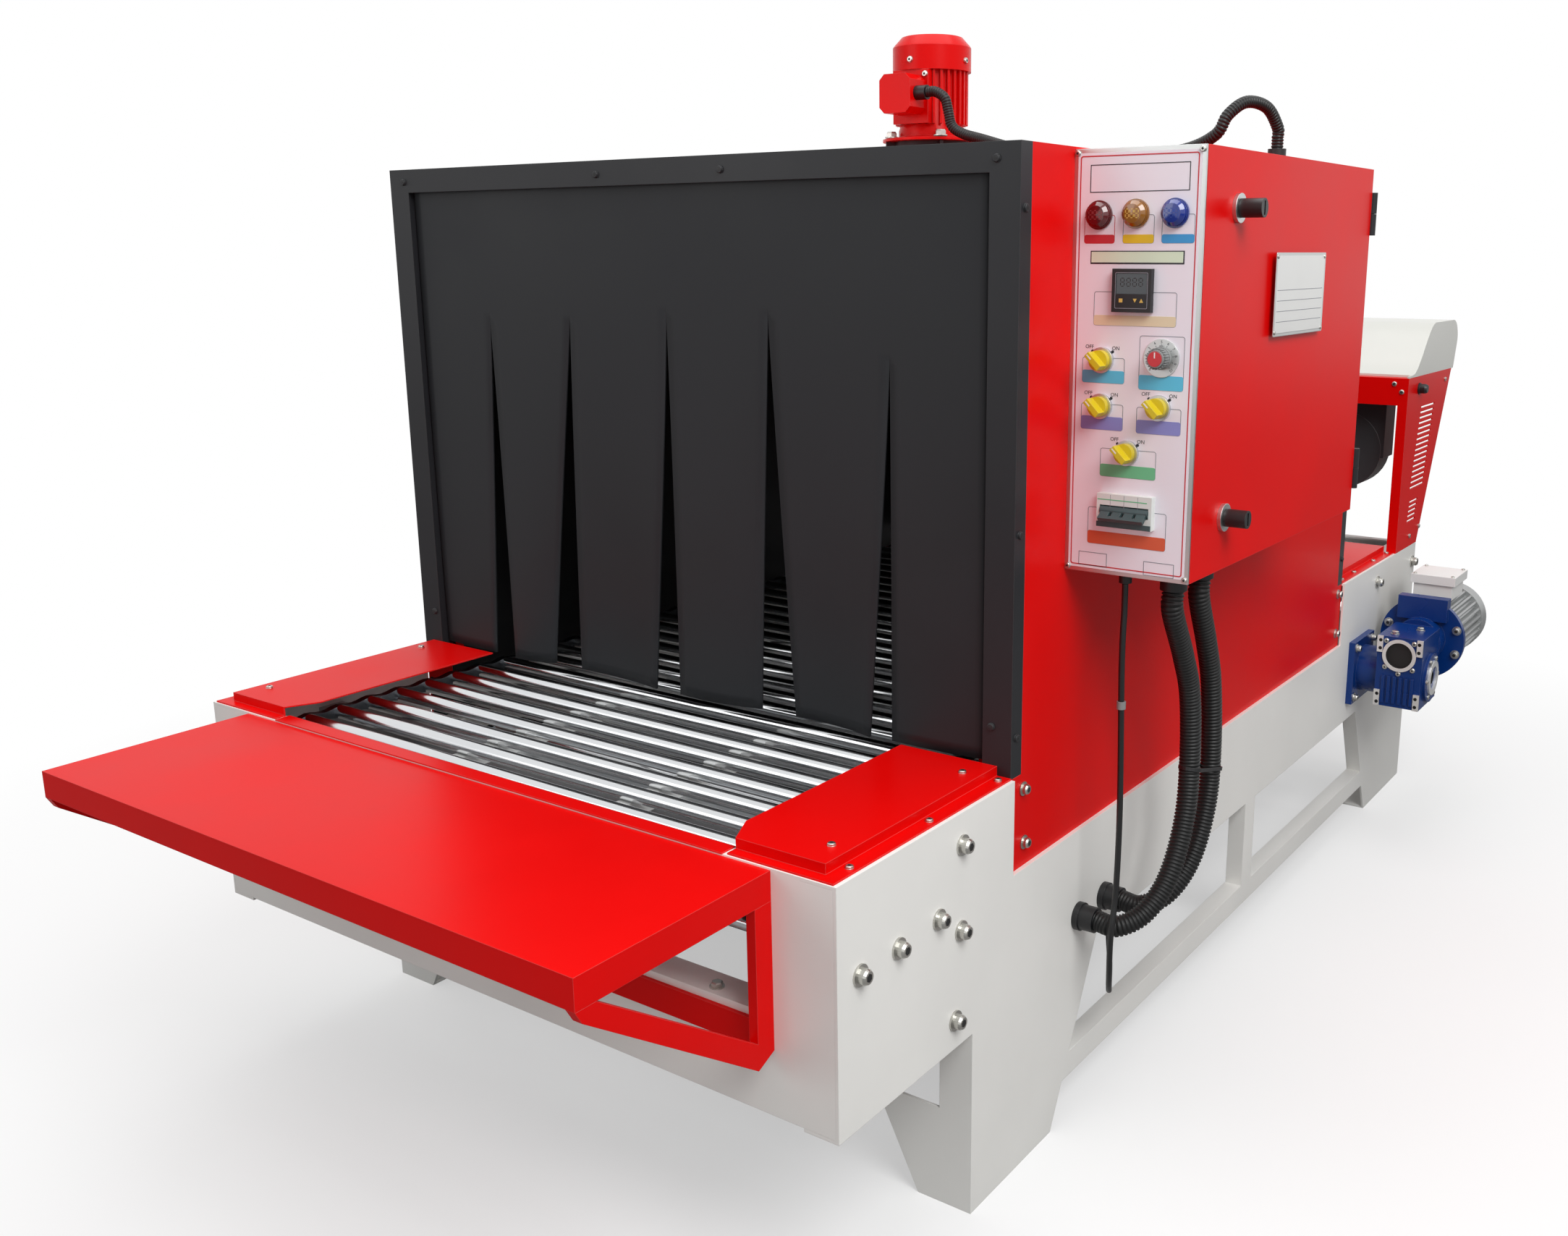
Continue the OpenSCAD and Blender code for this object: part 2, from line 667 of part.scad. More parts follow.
// Lid over a chain with its flange; the front one has a chamfered corner and a front skirt
module cover(y0, y1, cut, skirt) {
    translate([0, 0, lid_z - cover_t]) linear_extrude(cover_t)
        polygon([[lid_x, y0], [lid_x, y1], [lid_x - cover_w, y1], [lid_x - cover_w, y0 + cut],
                 [lid_x - cover_w + cut / 2, y0]]);
    block([lid_x - cover_t, y0, frame_h], [lid_x, y1, lid_z]);
    block([lid_x - cover_t, y0 - skirt, frame_h], [cover_x, y1, frame_h + cover_t]);
    if (skirt > 0) {
        block([lid_x - cover_w + cut / 2, y0, frame_h], [lid_x, y0 + cover_t, lid_z]);
        block([lid_x - cover_w + cut / 2, y0 - skirt, frame_h], [lid_x, y0 + cover_t, frame_h + cover_t]);
    }
}

module infeed_cover_right() { color(red) at_origin() cover(lid_y, 0, cover_cut, lid_y - cover_y); }
module infeed_cover_left() {
    color(red) at_origin() mirror([1, 0, 0]) cover(lid_y, 0, cover_cut, lid_y - cover_y);
}
module outfeed_cover_right() { color(red) at_origin() cover(hood_l, arch_y, 0, 0); }
module outfeed_cover_left() { color(red) at_origin() mirror([1, 0, 0]) cover(hood_l, arch_y, 0, 0); }

// Insulated side wall with a skirt down over the beam
module hood_wall() {
    along_x(wall_x, hood_x) polygon([[0, bar_top], [hood_l, bar_top], [hood_l, frame_h],
        [hood_l - end_d, frame_h], [hood_l - end_d, hood_z], [end_d, hood_z], [end_d, frame_h], [0, frame_h]]);
    block([hood_x - skirt_t, 0, notch_z], [hood_x, hood_l, bar_top]);
}

module hood_wall_right() { color(red) at_origin() hood_wall(); }
module hood_wall_left() { color(red) at_origin() mirror([1, 0, 0]) hood_wall(); }

module hood_roof() {
    color(red) at_origin() block([-wall_x, end_d, roof_z], [wall_x, hood_l - end_d, hood_z]);
}

// Mouth of the hood, with a slot in the header that clamps the curtain
module end_frame() {
    difference() {
        block([-hood_x, 0, frame_h], [hood_x, end_d, hood_z]);
        block([jamb_w - hood_x, -1, frame_h - 1], [hood_x - jamb_w, end_d + 1, hood_z - header_h]);
        block([-curtain_x - clamp_play, curtain_in - clamp_play, hood_z - header_h - 1],
              [curtain_x + clamp_play, curtain_in + curtain_t + clamp_play, curtain_top + clamp_play]);
    }
}

module front_frame() { color(black) at_origin() end_frame(); }
module rear_frame() { color(black) at_origin() at_rear() end_frame(); }

// Rubber curtain, slit into strips that hang slightly apart
module curtain() {
    along_y(curtain_in, curtain_in + curtain_t) difference() {
        polygon([[-curtain_x, curtain_low], [curtain_x, curtain_low], [curtain_x, curtain_top],
                 [-curtain_x, curtain_top]]);
        for (s = slits) polygon([[s[0] - s[1], curtain_low - 1], [s[0] + s[1], curtain_low - 1],
            [s[2] + 1, hood_z - s[3]], [s[2] - 1, hood_z - s[3]]]);
    }
}

module front_curtain() { color(black) at_origin() curtain(); }
module rear_curtain() { color(black) at_origin() at_rear() curtain(); }

module fan_stool() {
    color(red) at_origin() translate([fan_x, fan_y, hood_z]) {
        translate([-stool_base / 2, -stool_base / 2, 0]) cube([stool_base, stool_base, 4]);
        cylinder(d = stool_d, h = stool_h);
        for (a = [45:90:315]) rotate(a) translate([0, -2.5, 0])
            cube([stool_d / 2 + 14, 5, stool_h]);
    }
}

module finned(d, fin, count, l) {
    linear_extrude(l) polygon([for (i = [0:count - 1], k = [0:3]) let (a = 360 / count * (i + k / 4))
        polar(k < 2 ? d / 2 : d / 2 - fin, a)]);
}

module fan_motor() {
    color(red) at_origin() translate([fan_x, fan_y, stool_top]) {
        cylinder(d = fan_flange_d, h = fan_flange_t);
        translate([0, 0, fan_flange_t]) difference() {
            finned(fan_body_d, fan_fin_h, 30, fan_body_l);
            translate([fan_box_x - fan_x - fan_box_w / 2 - 0.3, -fan_body_d, 24])
                cube([fan_box_w + 0.6, fan_body_d / 2 + 15, fan_box_h + 2]);
        }
    }
}

module fan_cowl() {
    color(red) at_origin() translate([fan_x, fan_y, fan_cowl_z]) rotate_extrude()
        polygon([[0, 0], [fan_cowl_d / 2, 0], [fan_cowl_d / 2, fan_cowl_h - 9],
                 [fan_cowl_d / 2 - 9, fan_cowl_h], [0, fan_cowl_h]]);
}

module fan_terminal_box() {
    w = fan_box_w / 2;
    h = fan_box_h;
    color(red) at_origin() translate([fan_box_x, 0, fan_box_z])
        along_y(fan_y - fan_box_y, fan_y - fan_body_d / 2 + 15)
            polygon([[-w + 9, 0], [w - 9, 0], [w, 9], [w, h - 9], [w - 9, h], [9 - w, h], [-w, h - 9], [-w, 9]]);
}

// Sheet box, open to the door side, with a window behind the panel
module control_box() {
    color(red) at_origin() difference() {
        block([hood_x, shell_y, box_low], [rim_x, box_end, box_top]);
        block([hood_x + box_t, shell_y + box_t, box_low + box_t], [rim_x + 1, box_end - box_t, box_top - box_t]);
        block([hood_x + 22, shell_y - 1, box_low + 22], [rim_x - 8, shell_y + box_t + 1, box_top - 22]);
    }
}

module control_panel() {
    color(white) at_origin() block([hood_x, box_y, box_low], [box_x + box_t, shell_y, box_top]);
}

// Pan-shaped door with two hinge knuckles
module control_door() {
    color(red) at_origin() difference() {
        union() {
            block([rim_x + door_seat, door_y, box_low], [box_x + box_t, box_end - 0.5, box_top]);
            for (z = hinge_z) {
                block([box_x, box_end - 1, z + 0.5], [box_x + box_t, hinge_at[1], z + hinge_h / 2]);
                rod_z(hinge_r, z + 0.5, z + hinge_h / 2, hinge_at);
            }
        }
        block([rim_x, door_y + box_t, box_low + box_t], [box_x, box_end - 0.5 - box_t, box_top - box_t]);
        for (z = hinge_z) rod_z(pin_r + 0.2, z, z + hinge_h / 2 + 1, hinge_at);
    }
}

// Fixed halves of the hinges with their pins
module door_hinges() {
    color(steel) at_origin() for (z = hinge_z) {
        block([rim_x - 30, box_end, z - hinge_h / 2], [hinge_at[0], box_end + 3, z]);
        rod_z(hinge_r, z - hinge_h / 2, z, hinge_at);
        rod_z(pin_r, z - 1, z + hinge_h / 2, hinge_at);
    }
}

module lock_bezels() {
    color(steel) at_origin() for (z = lock_z) difference() {
        rod_x(lock_r, box_x + box_t, box_x + box_t + 5, [lock_at, z]);
        rod_x(stem_r + 0.3, box_x, box_x + box_t + 6, [lock_at, z]);
    }
}

module lock_knob(z) {
    x = box_x + box_t + 5;
    rod_x(stem_r, box_x + box_t + 0.3, x + 1, [lock_at, z]);
    difference() {
        rod_x(lock_r - 6, x + 0.3, x + lock_l, [lock_at, z]);
        block([x + lock_l - 4, lock_at - 2, z - 8], [x + lock_l + 1, lock_at + 2, z + 8]);
    }
}

module door_lock_upper() { color(black) at_origin() lock_knob(lock_z[1]); }
module door_lock_lower() { color(black) at_origin() lock_knob(lock_z[0]); }

// Place on the panel's face, at a distance from its left edge and its top
function face(p) = [hood_x + p[0], box_top - p[1]];

module lamp(p) {
    translate([face(p)[0], box_y, face(p)[1]]) rotate([90, 0, 0]) rotate_extrude()
        polygon([[0, 0], [lamp_r + 2, 0], [lamp_r + 2, 3], [lamp_r, 3], [lamp_r, 8], [lamp_r - 4, 12], [0, 13]]);
}

module lamp_red() { color("#d8201c") at_origin() lamp(lamp_at[0]); }
module lamp_amber() { color("#f0a01c") at_origin() lamp(lamp_at[1]); }
module lamp_blue() { color("#1c4fc8") at_origin() lamp(lamp_at[2]); }

module temperature_controller() {
    c = face(meter_at);
    color(black) at_origin() difference() {
        block([c[0] - meter_w / 2, box_y - 8, c[1] - meter_w / 2], [c[0] + meter_w / 2, box_y, c[1] + meter_w / 2]);
        block([c[0] - meter_w / 2 + 5, box_y - 9, c[1] - 4], [c[0] + meter_w / 2 - 5, box_y - 6.5, c[1] + meter_w / 2 - 5]);
    }
}

// Breaker with a through slot in its face for the toggle drum
module mains_breaker() {
    c = face(breaker_at);
    color(white) at_origin() difference() {
        block([c[0] - breaker_w / 2, box_y - 10, c[1] - breaker_h / 2], [c[0] + breaker_w / 2, box_y, c[1] + breaker_h / 2]);
        rod_x(toggle_r + 0.5, c[0] - breaker_w / 2 + 4, c[0] + breaker_w / 2 - 4, [toggle_y, c[1]]);
    }
}

module breaker_toggles() {
    c = face(breaker_at);
    w = breaker_w - 9;
    color(black) at_origin() translate([c[0] - w / 2, toggle_y, c[1]]) {
        rotate([0, 90, 0]) cylinder(r = toggle_r - 1, h = w);
        rotate([35, 0, 0]) for (i = [0:3]) translate([w / 4 * i + 2, -toggle_r - 10, -2.5])
            cube([w / 4 - 4, toggle_r + 10, 5]);
        rotate([35, 0, 0]) translate([2, -toggle_r - 10, -2.5]) cube([w - 4, 4, 5]);
    }
}

module switch_bezels() {
    color(steel) at_origin() {
        for (p = selector_at) difference() {
            rod_y(bezel_r, box_y - bezel_t, box_y, face(p));
            rod_y(stem_r + 0.3, box_y - bezel_t - 1, box_y + 1, face(p));
        }
        difference() {
            rod_y(dial_r, box_y - 2, box_y, face(dial_at));
            rod_y(stem_r + 0.3, box_y - 3, box_y + 1, face(dial_at));
        }
    }
}

module selector(p) {
    c = face(p);
    y = box_y - bezel_t;
    rod_y(stem_r, y - 1, box_y - 0.3, c);
    rod_y(knob_r, y - 8, y - 0.3, c);
    translate([c[0], 0, c[1]]) rotate([0, -45, 0])
        block([-3.5, y - knob_l, 0.5 - knob_r], [3.5, y - 7, knob_r - 0.5]);
}

module selector_conveyor() { color(yellow) at_origin() selector(selector_at[0]); }
module selector_heater() { color(yellow) at_origin() selector(selector_at[1]); }
module selector_hot_fan() { color(yellow) at_origin() selector(selector_at[2]); }
module selector_cool_fan() { color(yellow) at_origin() selector(selector_at[3]); }

module speed_knob() {
    c = face(dial_at);
    color(grey) at_origin() {
        rod_y(stem_r, box_y - 3, box_y - 0.3, c);
        translate([c[0], box_y - 2.3, c[1]]) rotate([90, 0, 0]) {
            cylinder(r = knob_r + 1, h = 4);
            translate([0, 0, 4]) cylinder(r1 = knob_r, r2 = knob_r - 2, h = 13);
        }
        block([c[0] - 0.8, box_y - 6, c[1] + knob_r - 1], [c[0] + 0.8, box_y - 2.3, c[1] + knob_r + 3]);
    }
}

module front_conduit() { color(black) at_origin() tube(front_route, conduit_d, 2); }
module rear_conduit() { color(black) at_origin() tube(rear_route, conduit_d, 2); }
module signal_cable() { color(black) at_origin() tube(cable_route, cable_d, 3, 8); }
module top_conduit() { color(black) at_origin() tube(fan_route, fan_conduit_d, 2, 8); }

// Glands where the conduits enter the boxes and the base
module conduit_glands() {
    color(black) at_origin() {
        for (p = [front_route, rear_route]) {
            a = p[0];
            b = p[len(p) - 1];
            rod_z(gland_d / 2 - 2, a[2], box_low, a);
            rod_z(gland_d / 2, box_low - 8, box_low, a);
            rod_x(gland_d / 2 - 2, plate_x, b[0], [b[1], b[2]]);
            rod_x(gland_d / 2, plate_x, plate_x + 8, [b[1], b[2]]);
        }
        rod_z(cable_d / 2 + 4, cable_route[0][2], box_low, cable_route[0]);
        let (e = cable_route[len(cable_route) - 1]) rod_z(cable_d / 2 + 4, e[2], beam_z, e);
        let (s = fan_route[0]) rod_x(fan_conduit_d / 2 + 3, fan_box_x + fan_box_w / 2, s[0], [s[1], s[2]]);
        let (e = fan_route[len(fan_route) - 1]) rod_z(fan_conduit_d / 2 + 4, box_top, e[2], e);
    }
}

// Worm gear housing with mounting flange, neck, end cap, output ring and motor flange
module gearbox() {
    color(blue) at_origin() difference() {
        union() {
            block([plate_x, drive[0] - gear_flange / 2, drive[1] - gear_flange / 2],
                  [plate_x + gear_flange_t, drive[0] + gear_flange / 2, drive[1] + gear_flange / 2]);
            rod_x(46, plate_x + gear_flange_t - 1, gear_x + 1, drive);
            block([gear_x, gear_front, drive[1] - gear_low], [gear_x + gear_w, gear_back, gear_top]);
            rod_x(48, gear_x, gear_x + gear_w + 6, drive);
            rod_y(32, gear_front - 4, gear_front + 1, [gear_mid, worm_z]);
            rod_y(46, gear_back - 1, motor_y - 11, [gear_mid, worm_z]);
            rod_y(motor_flange_d / 2, motor_y - 12, motor_y, [gear_mid, worm_z]);
            block([gear_mid - 48, motor_y - 26, worm_z + 40], [gear_mid + 48, motor_y, worm_z + motor_flange_d / 2 + 4]);
        }
        rod_x(shaft_d / 2 + shaft_play, plate_x - 1, gear_x + gear_w + 7, drive);
        rod_y(25, gear_front - 5, gear_front + 2, [gear_mid, worm_z]);
    }
}

module gear_motor() {
    color(steel) at_origin() translate([gear_mid, motor_y, worm_z]) rotate([-90, 0, 0]) {
        cylinder(d = motor_d + 14, h = 10);
        translate([0, 0, 10]) finned(motor_d, 9, 28, motor_l - 50);
        translate([0, 0, motor_l - 41]) cylinder(d = motor_d + 4, h = 36);
        translate([0, 0, motor_l - 6]) cylinder(d1 = motor_d + 4, d2 = motor_d - 12, h = 6);
    }
}

module motor_terminal_box() {
    z = worm_z + motor_d / 2;
    color(grey) at_origin() {
        block([gear_mid - 38, motor_y + 45, z], [gear_mid + 38, motor_y + 135, z + 30]);
        block([gear_mid - 44, motor_y + 40, z + 30], [gear_mid + 44, motor_y + 140, z + 48]);
    }
}

// Arch over the outfeed with louvred sides
module outfeed_portal() {
    color(red) at_origin() {
        both() {
            along_x(plate_x - portal_t, plate_x) difference() {
                polygon([[arch_y, frame_h], [arch_y + portal_foot, frame_h], [arch_top, arch_z], [arch_y, arch_z]]);
                for (i = [0:15]) translate([arch_y + 72 + i * 2.6, frame_h + 127 + i * 11.2]) square([108, 4]);
                for (i = [0:4]) translate([arch_y + 68 + i * 2.4, frame_h + 56 + i * 10]) square([64, 4]);
            }
            block([plate_x - portal_jamb, arch_y, frame_h], [plate_x, arch_y + portal_t, arch_z]);
            block([plate_x - portal_jamb, arch_y, frame_h], [plate_x, arch_y + portal_foot, frame_h + portal_t]);
        }
        block([-plate_x, arch_y, arch_z - portal_header], [plate_x, arch_y + portal_t, arch_z]);
        block([-plate_x, arch_y, arch_z - portal_t], [plate_x, arch_top, arch_z]);
    }
}

// Scroll of a cooling fan, seen from the infeed, with its neck up to the portal's roof
module scroll() {
    z = arch_z - portal_t - blower_r - 40;
    along_y(arch_y + 60, arch_y + 130) translate([blower_x, z]) {
        polygon([for (a = [0:10:350]) polar(blower_r * (0.86 + 0.14 * a / 350), a - 180)]);
        translate([-blower_r, -10]) square([blower_r * 1.1, blower_r + 50]);
    }
    rod_y(34, arch_y + 130, arch_y + 180, [blower_x, z]);
}

module cooling_fans() {
    z = arch_z - portal_t - blower_r - 40;
    color(black) at_origin() {
        scroll();
        mirror([1, 0, 0]) scroll();
        block([-blower_x, arch_y + 66, z + 20], [blower_x, arch_y + 96, z + 46]);
    }
}

// Rounded cowl over the fans' intakes
module cooling_cowl() {
    foot = [[0, 0], [0, 5]];
    rise = [for (i = [0:10]) let (t = i / 10) [50 + 150 * t, 5 + (cowl_h - 5) * (3 * t * t - 2 * t * t * t)]];
    back = [for (a = [90:-15:0]) [cowl_l - 45 + 45 * cos(a), cowl_h - 45 + 45 * sin(a)]];
    color(white) at_origin() along_x(-cowl_x, cowl_x) translate([cowl_y, arch_z])
        polygon(concat(foot, rise, back, [[cowl_l - 20, 0]]));
}

side_frame_right();
side_frame_left();
front_apron();
rear_apron();
support_rails();
cross_bars();
conveyor_rods();
conveyor_chains();
tail_shaft();
head_shaft();
drive_shaft();
shaft_bearings();
infeed_tray();
tray_bracket();
infeed_cover_right();
infeed_cover_left();
outfeed_cover_right();
outfeed_cover_left();
hood_wall_right();
hood_wall_left();
hood_roof();
front_frame();
rear_frame();
front_curtain();
rear_curtain();
fan_stool();
fan_motor();
fan_cowl();
fan_terminal_box();
top_conduit();
control_box();
control_panel();
control_door();
door_hinges();
lock_bezels();
door_lock_upper();
door_lock_lower();
lamp_red();
lamp_amber();
lamp_blue();
temperature_controller();
mains_breaker();
breaker_toggles();
switch_bezels();
selector_conveyor();
selector_heater();
selector_hot_fan();
selector_cool_fan();
speed_knob();
front_conduit();
rear_conduit();
signal_cable();
conduit_glands();
gearbox();
gear_motor();
motor_terminal_box();
outfeed_portal();
cooling_fans();
cooling_cowl();
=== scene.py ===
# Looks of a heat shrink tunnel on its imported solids: finishes, castings, conduits, curtains, screws, print.
import math

import bmesh
import bpy
from mathutils import Matrix, Vector


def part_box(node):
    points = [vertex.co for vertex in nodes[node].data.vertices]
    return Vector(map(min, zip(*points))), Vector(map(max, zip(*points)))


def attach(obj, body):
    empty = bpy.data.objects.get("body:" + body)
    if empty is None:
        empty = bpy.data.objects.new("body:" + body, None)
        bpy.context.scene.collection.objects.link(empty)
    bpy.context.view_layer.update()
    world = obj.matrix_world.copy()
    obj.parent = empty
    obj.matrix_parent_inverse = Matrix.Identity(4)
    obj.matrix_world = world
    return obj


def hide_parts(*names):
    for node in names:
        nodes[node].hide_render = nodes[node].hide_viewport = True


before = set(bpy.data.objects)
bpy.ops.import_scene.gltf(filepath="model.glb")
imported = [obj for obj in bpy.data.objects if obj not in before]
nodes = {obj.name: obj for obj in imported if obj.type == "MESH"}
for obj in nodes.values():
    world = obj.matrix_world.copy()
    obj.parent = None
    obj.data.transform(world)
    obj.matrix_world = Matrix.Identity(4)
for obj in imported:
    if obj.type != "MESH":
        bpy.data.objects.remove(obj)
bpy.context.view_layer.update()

# The machine's own frame: millimetres from the centre line, the hood's front and the floor
front_low, front_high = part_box("front_frame")
CENTRE = (front_low.x + front_high.x) / 2
FRONT = front_low.y

RIGHT, AHEAD, BACK, UP = (1, 0, 0), (0, -1, 0), (0, 1, 0), (0, 0, 1)
AXES = (Vector(RIGHT), Vector(BACK), Vector(UP))


def mm(x, y, z):
    """Point of the machine's frame, in millimetres, as a point of the row frame."""
    return Vector((CENTRE + x / 1000, FRONT + y / 1000, z / 1000))


def edge(node, axis, side):
    """Place of a node's lowest (0) or highest (1) face along an axis, in the machine's millimetres."""
    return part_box(node)[side][axis] * 1000 - (CENTRE * 1000, FRONT * 1000, 0)[axis]


def linear(code):
    """Linear colour of an sRGB hex value."""
    parts = [int(code[i:i + 2], 16) / 255 for i in (1, 3, 5)]
    return (*[c / 12.92 if c <= 0.04045 else ((c + 0.055) / 1.055) ** 2.4 for c in parts], 1)


def add(tree, kind, inputs=None, **settings):
    """A node with its settings; each input takes a value, or links to one socket or to several."""
    made = tree.nodes.new(kind)
    for key, value in settings.items():
        setattr(made, key, value)
    for key, value in (inputs or {}).items():
        links = value if isinstance(value, list) else [value]
        for link in links:
            if isinstance(link, bpy.types.NodeSocket):
                tree.links.new(link, made.inputs[key])
            else:
                made.inputs[key].default_value = link
    return made


def per_mm(size):
    """Noise scale whose features are about this many millimetres wide."""
    return 1000 / size


def placed(name, data):
    """Object with these data, in the scene."""
    made = bpy.data.objects.new(name, data)
    bpy.context.scene.collection.objects.link(made)
    return made


# Camera at the photograph's place

def make_camera():
    """Camera that sees the machine from its front right, a little from above."""
    data = bpy.data.cameras.new("camera")
    data.sensor_width = 36
    data.lens = 33.0
    data.shift_x = -0.0789
    data.shift_y = -0.0196
    data.clip_end = 100
    made = placed("camera", data)
    made.location = mm(1344.7, -1417.7, 1151.2)
    made.rotation_euler = (math.radians(90 - 13.116), 0, math.radians(33.92))
    bpy.context.scene.camera = made


make_camera()


# Materials

# Width of the clouds in which a finish drifts, in millimetres, and the near-white tone that edges are painted
# toward: a painted edge highlight that also stands for rubbed paint
CLOUD = 240
EDGE_HIGHLIGHT_AND_WEAR_TONE = linear("#f3f1ee")


def surface(name, code, roughness, grain, depth, drift=0.05, corner=1.0, edge_highlight_and_wear=0.12,
            stretch=(1, 1, 1), **sockets):
    """A finish of one colour: tone and gloss drift a little, a fine grain lies on it, edges are soft and
    painted paler.

    grain is the grain's width, depth its height and corner the radius of the edges, in millimetres;
    drift is how far the tone strays, the argument after corner how much paler the edges are painted (a
    painted edge highlight that also stands for rubbed paint), and stretch draws the grain out.
    """
    material = bpy.data.materials.new(name)
    material.use_nodes = True
    tree = material.node_tree
    shader = tree.nodes["Principled BSDF"]
    spot = add(tree, "ShaderNodeTexCoord").outputs["Object"]
    grained = add(tree, "ShaderNodeMapping", {"Vector": spot, "Scale": stretch}).outputs["Vector"]
    broad = add(tree, "ShaderNodeTexNoise", {"Vector": spot, "Scale": per_mm(CLOUD), "Detail": 4})
    fine = add(tree, "ShaderNodeTexNoise", {"Vector": grained, "Scale": per_mm(grain), "Detail": 2})
    spread = {"Value": broad.outputs["Fac"], "From Min": 0.3, "From Max": 0.7}
    tone = add(tree, "ShaderNodeMapRange", {**spread, "To Min": 1 - drift, "To Max": 1 + drift})
    gloss = add(tree, "ShaderNodeMapRange",
                {**spread, "To Min": roughness * 0.88, "To Max": roughness * 1.12})
    rounded = add(tree, "ShaderNodeBevel", {"Radius": corner / 1000}, samples=4).outputs["Normal"]
    flat = add(tree, "ShaderNodeNewGeometry").outputs["Normal"]
    bend = add(tree, "ShaderNodeVectorMath", {0: rounded, 1: flat}, operation="DOT_PRODUCT")
    rim = add(tree, "ShaderNodeMapRange", {"Value": bend.outputs["Value"], "From Min": 0.8, "From Max": 0.99,
                                           "To Min": edge_highlight_and_wear, "To Max": 0})
    toned = add(tree, "ShaderNodeHueSaturation", {"Color": linear(code), "Value": tone.outputs["Result"]})
    # Edges blend toward the near-white tone: a painted edge highlight that also stands for rubbed paint
    edge_highlighted_and_worn = add(tree, "ShaderNodeMix", {0: rim.outputs["Result"], 6: toned.outputs["Color"], 7: EDGE_HIGHLIGHT_AND_WEAR_TONE},
               data_type="RGBA")
    bump = add(tree, "ShaderNodeBump", {"Strength": 0.5, "Distance": depth / 1000, "Normal": rounded,
                                        "Height": fine.outputs["Fac"]})
    tree.links.new(edge_highlighted_and_worn.outputs[2], shader.inputs["Base Color"])
    tree.links.new(gloss.outputs["Result"], shader.inputs["Roughness"])
    tree.links.new(bump.outputs["Normal"], shader.inputs["Normal"])
    for socket, value in sockets.items():
        shader.inputs[socket.replace("_", " ")].default_value = value
    return material


# Gloss powder coat on folded sheet: clean strong red with a slight orange peel
RED = surface("powder_coated_sheet_red_gloss", "#e20706", 0.32, 2.5, 0.05, Specular_IOR_Level=0.08)
# Enamel brushed over castings: a deeper red that shows the sand of the mould
RED_ENAMEL = surface("enamelled_casting_red", "#d00505", 0.26, 5, 0.12, Specular_IOR_Level=0.15)
# Satin powder coat on the folded base: warm off-white
WHITE = surface("powder_coated_sheet_white_satin", "#f4f3ef", 0.4, 2.5, 0.05, drift=0.03)
# Satin black coat on the hood's mouths
BLACK_COAT = surface("powder_coated_sheet_black_satin", "#242528", 0.42, 1.5, 0.08, edge_highlight_and_wear=0.06,
                     Specular_IOR_Level=0.3)
# Calendered rubber sheet: charcoal, dull, with a faint cloth print
RUBBER = surface("rubber_sheet_charcoal", "#222427", 0.55, 1.2, 0.1, drift=0.14, edge_highlight_and_wear=0.03,
                 Specular_IOR_Level=0.3)
# Ground and chromed bar: bright, with round-the-bar grinding marks
CHROME = surface("chromed_ground_bar", "#dcdee0", 0.16, 1.2, 0.02, drift=0.03, corner=0.6,
                 stretch=(1, 0.15, 0.15), Metallic=1)
# Drawn bright steel of shafts, rails and bars
STEEL = surface("drawn_steel_bright", "#b3b5b7", 0.32, 1.2, 0.04, stretch=(0.2, 1, 1), Metallic=1)
# Planed flat bar of the support rails: pale, its top rubbed smooth by the load
PLANED = surface("planed_bar_pale", "#e8e8e6", 0.36, 1.2, 0.04, stretch=(1, 0.2, 1), Metallic=0.3)
# Zinc-plated fasteners, slightly warm and scratched
ZINC = surface("zinc_plated_steel", "#c3c2bc", 0.3, 0.8, 0.05, corner=0.4, Metallic=1)
# Roller chain in its oil film
CHAIN = surface("oiled_chain_steel", "#4d4f52", 0.38, 1.5, 0.08, Metallic=1)
# Grey iron bearing housings
IRON = surface("cast_iron_grey", "#55585a", 0.55, 3, 0.2, drift=0.1)
# Brushed stainless trim round the panel
STAINLESS = surface("brushed_stainless_trim", "#cfd1d0", 0.34, 0.6, 0.03, stretch=(1, 1, 0.08), Metallic=1)
# Machined aluminium faces and rings on the castings
MACHINED = surface("machined_aluminium", "#e6e6e4", 0.32, 0.8, 0.04, corner=0.5, Metallic=0.5)
# Die-cast aluminium of the motor, silver paint over a fine casting skin
CAST = surface("die_cast_aluminium_silver", "#a9abab", 0.4, 2.5, 0.12, Metallic=0.6)
# Light grey lacquer of the motor's terminal box
LACQUER = surface("lacquered_casting_light_grey", "#ececea", 0.36, 3, 0.08)
# Blue lacquer of the worm gearbox, thick over the casting
BLUE = surface("lacquered_casting_blue", "#053276", 0.28, 4, 0.12, edge_highlight_and_wear=0.08, Specular_IOR_Level=0.35)
# Injection-moulded black plastic
ABS_BLACK = surface("moulded_abs_black", "#17181a", 0.42, 0.8, 0.05, edge_highlight_and_wear=0.05, corner=0.5)
# Extruded black polyamide of the conduits
CONDUIT = surface("corrugated_polyamide_black", "#1b1c1c", 0.44, 0.8, 0.03, edge_highlight_and_wear=0.03, corner=0.3,
                  Specular_IOR_Level=0.35)
# Extruded cable sheath, a little shinier
SHEATH = surface("pvc_sheath_black", "#1a1b1c", 0.36, 1.0, 0.03, edge_highlight_and_wear=0.0, corner=0.3)
# Moulded yellow switch handles
ABS_YELLOW = surface("moulded_abs_yellow", "#d6bf1e", 0.34, 0.8, 0.03, corner=0.8, edge_highlight_and_wear=0.06)
# Moulded grey knob
ABS_GREY = surface("moulded_abs_grey", "#8b8d8d", 0.42, 0.8, 0.03, corner=0.5)
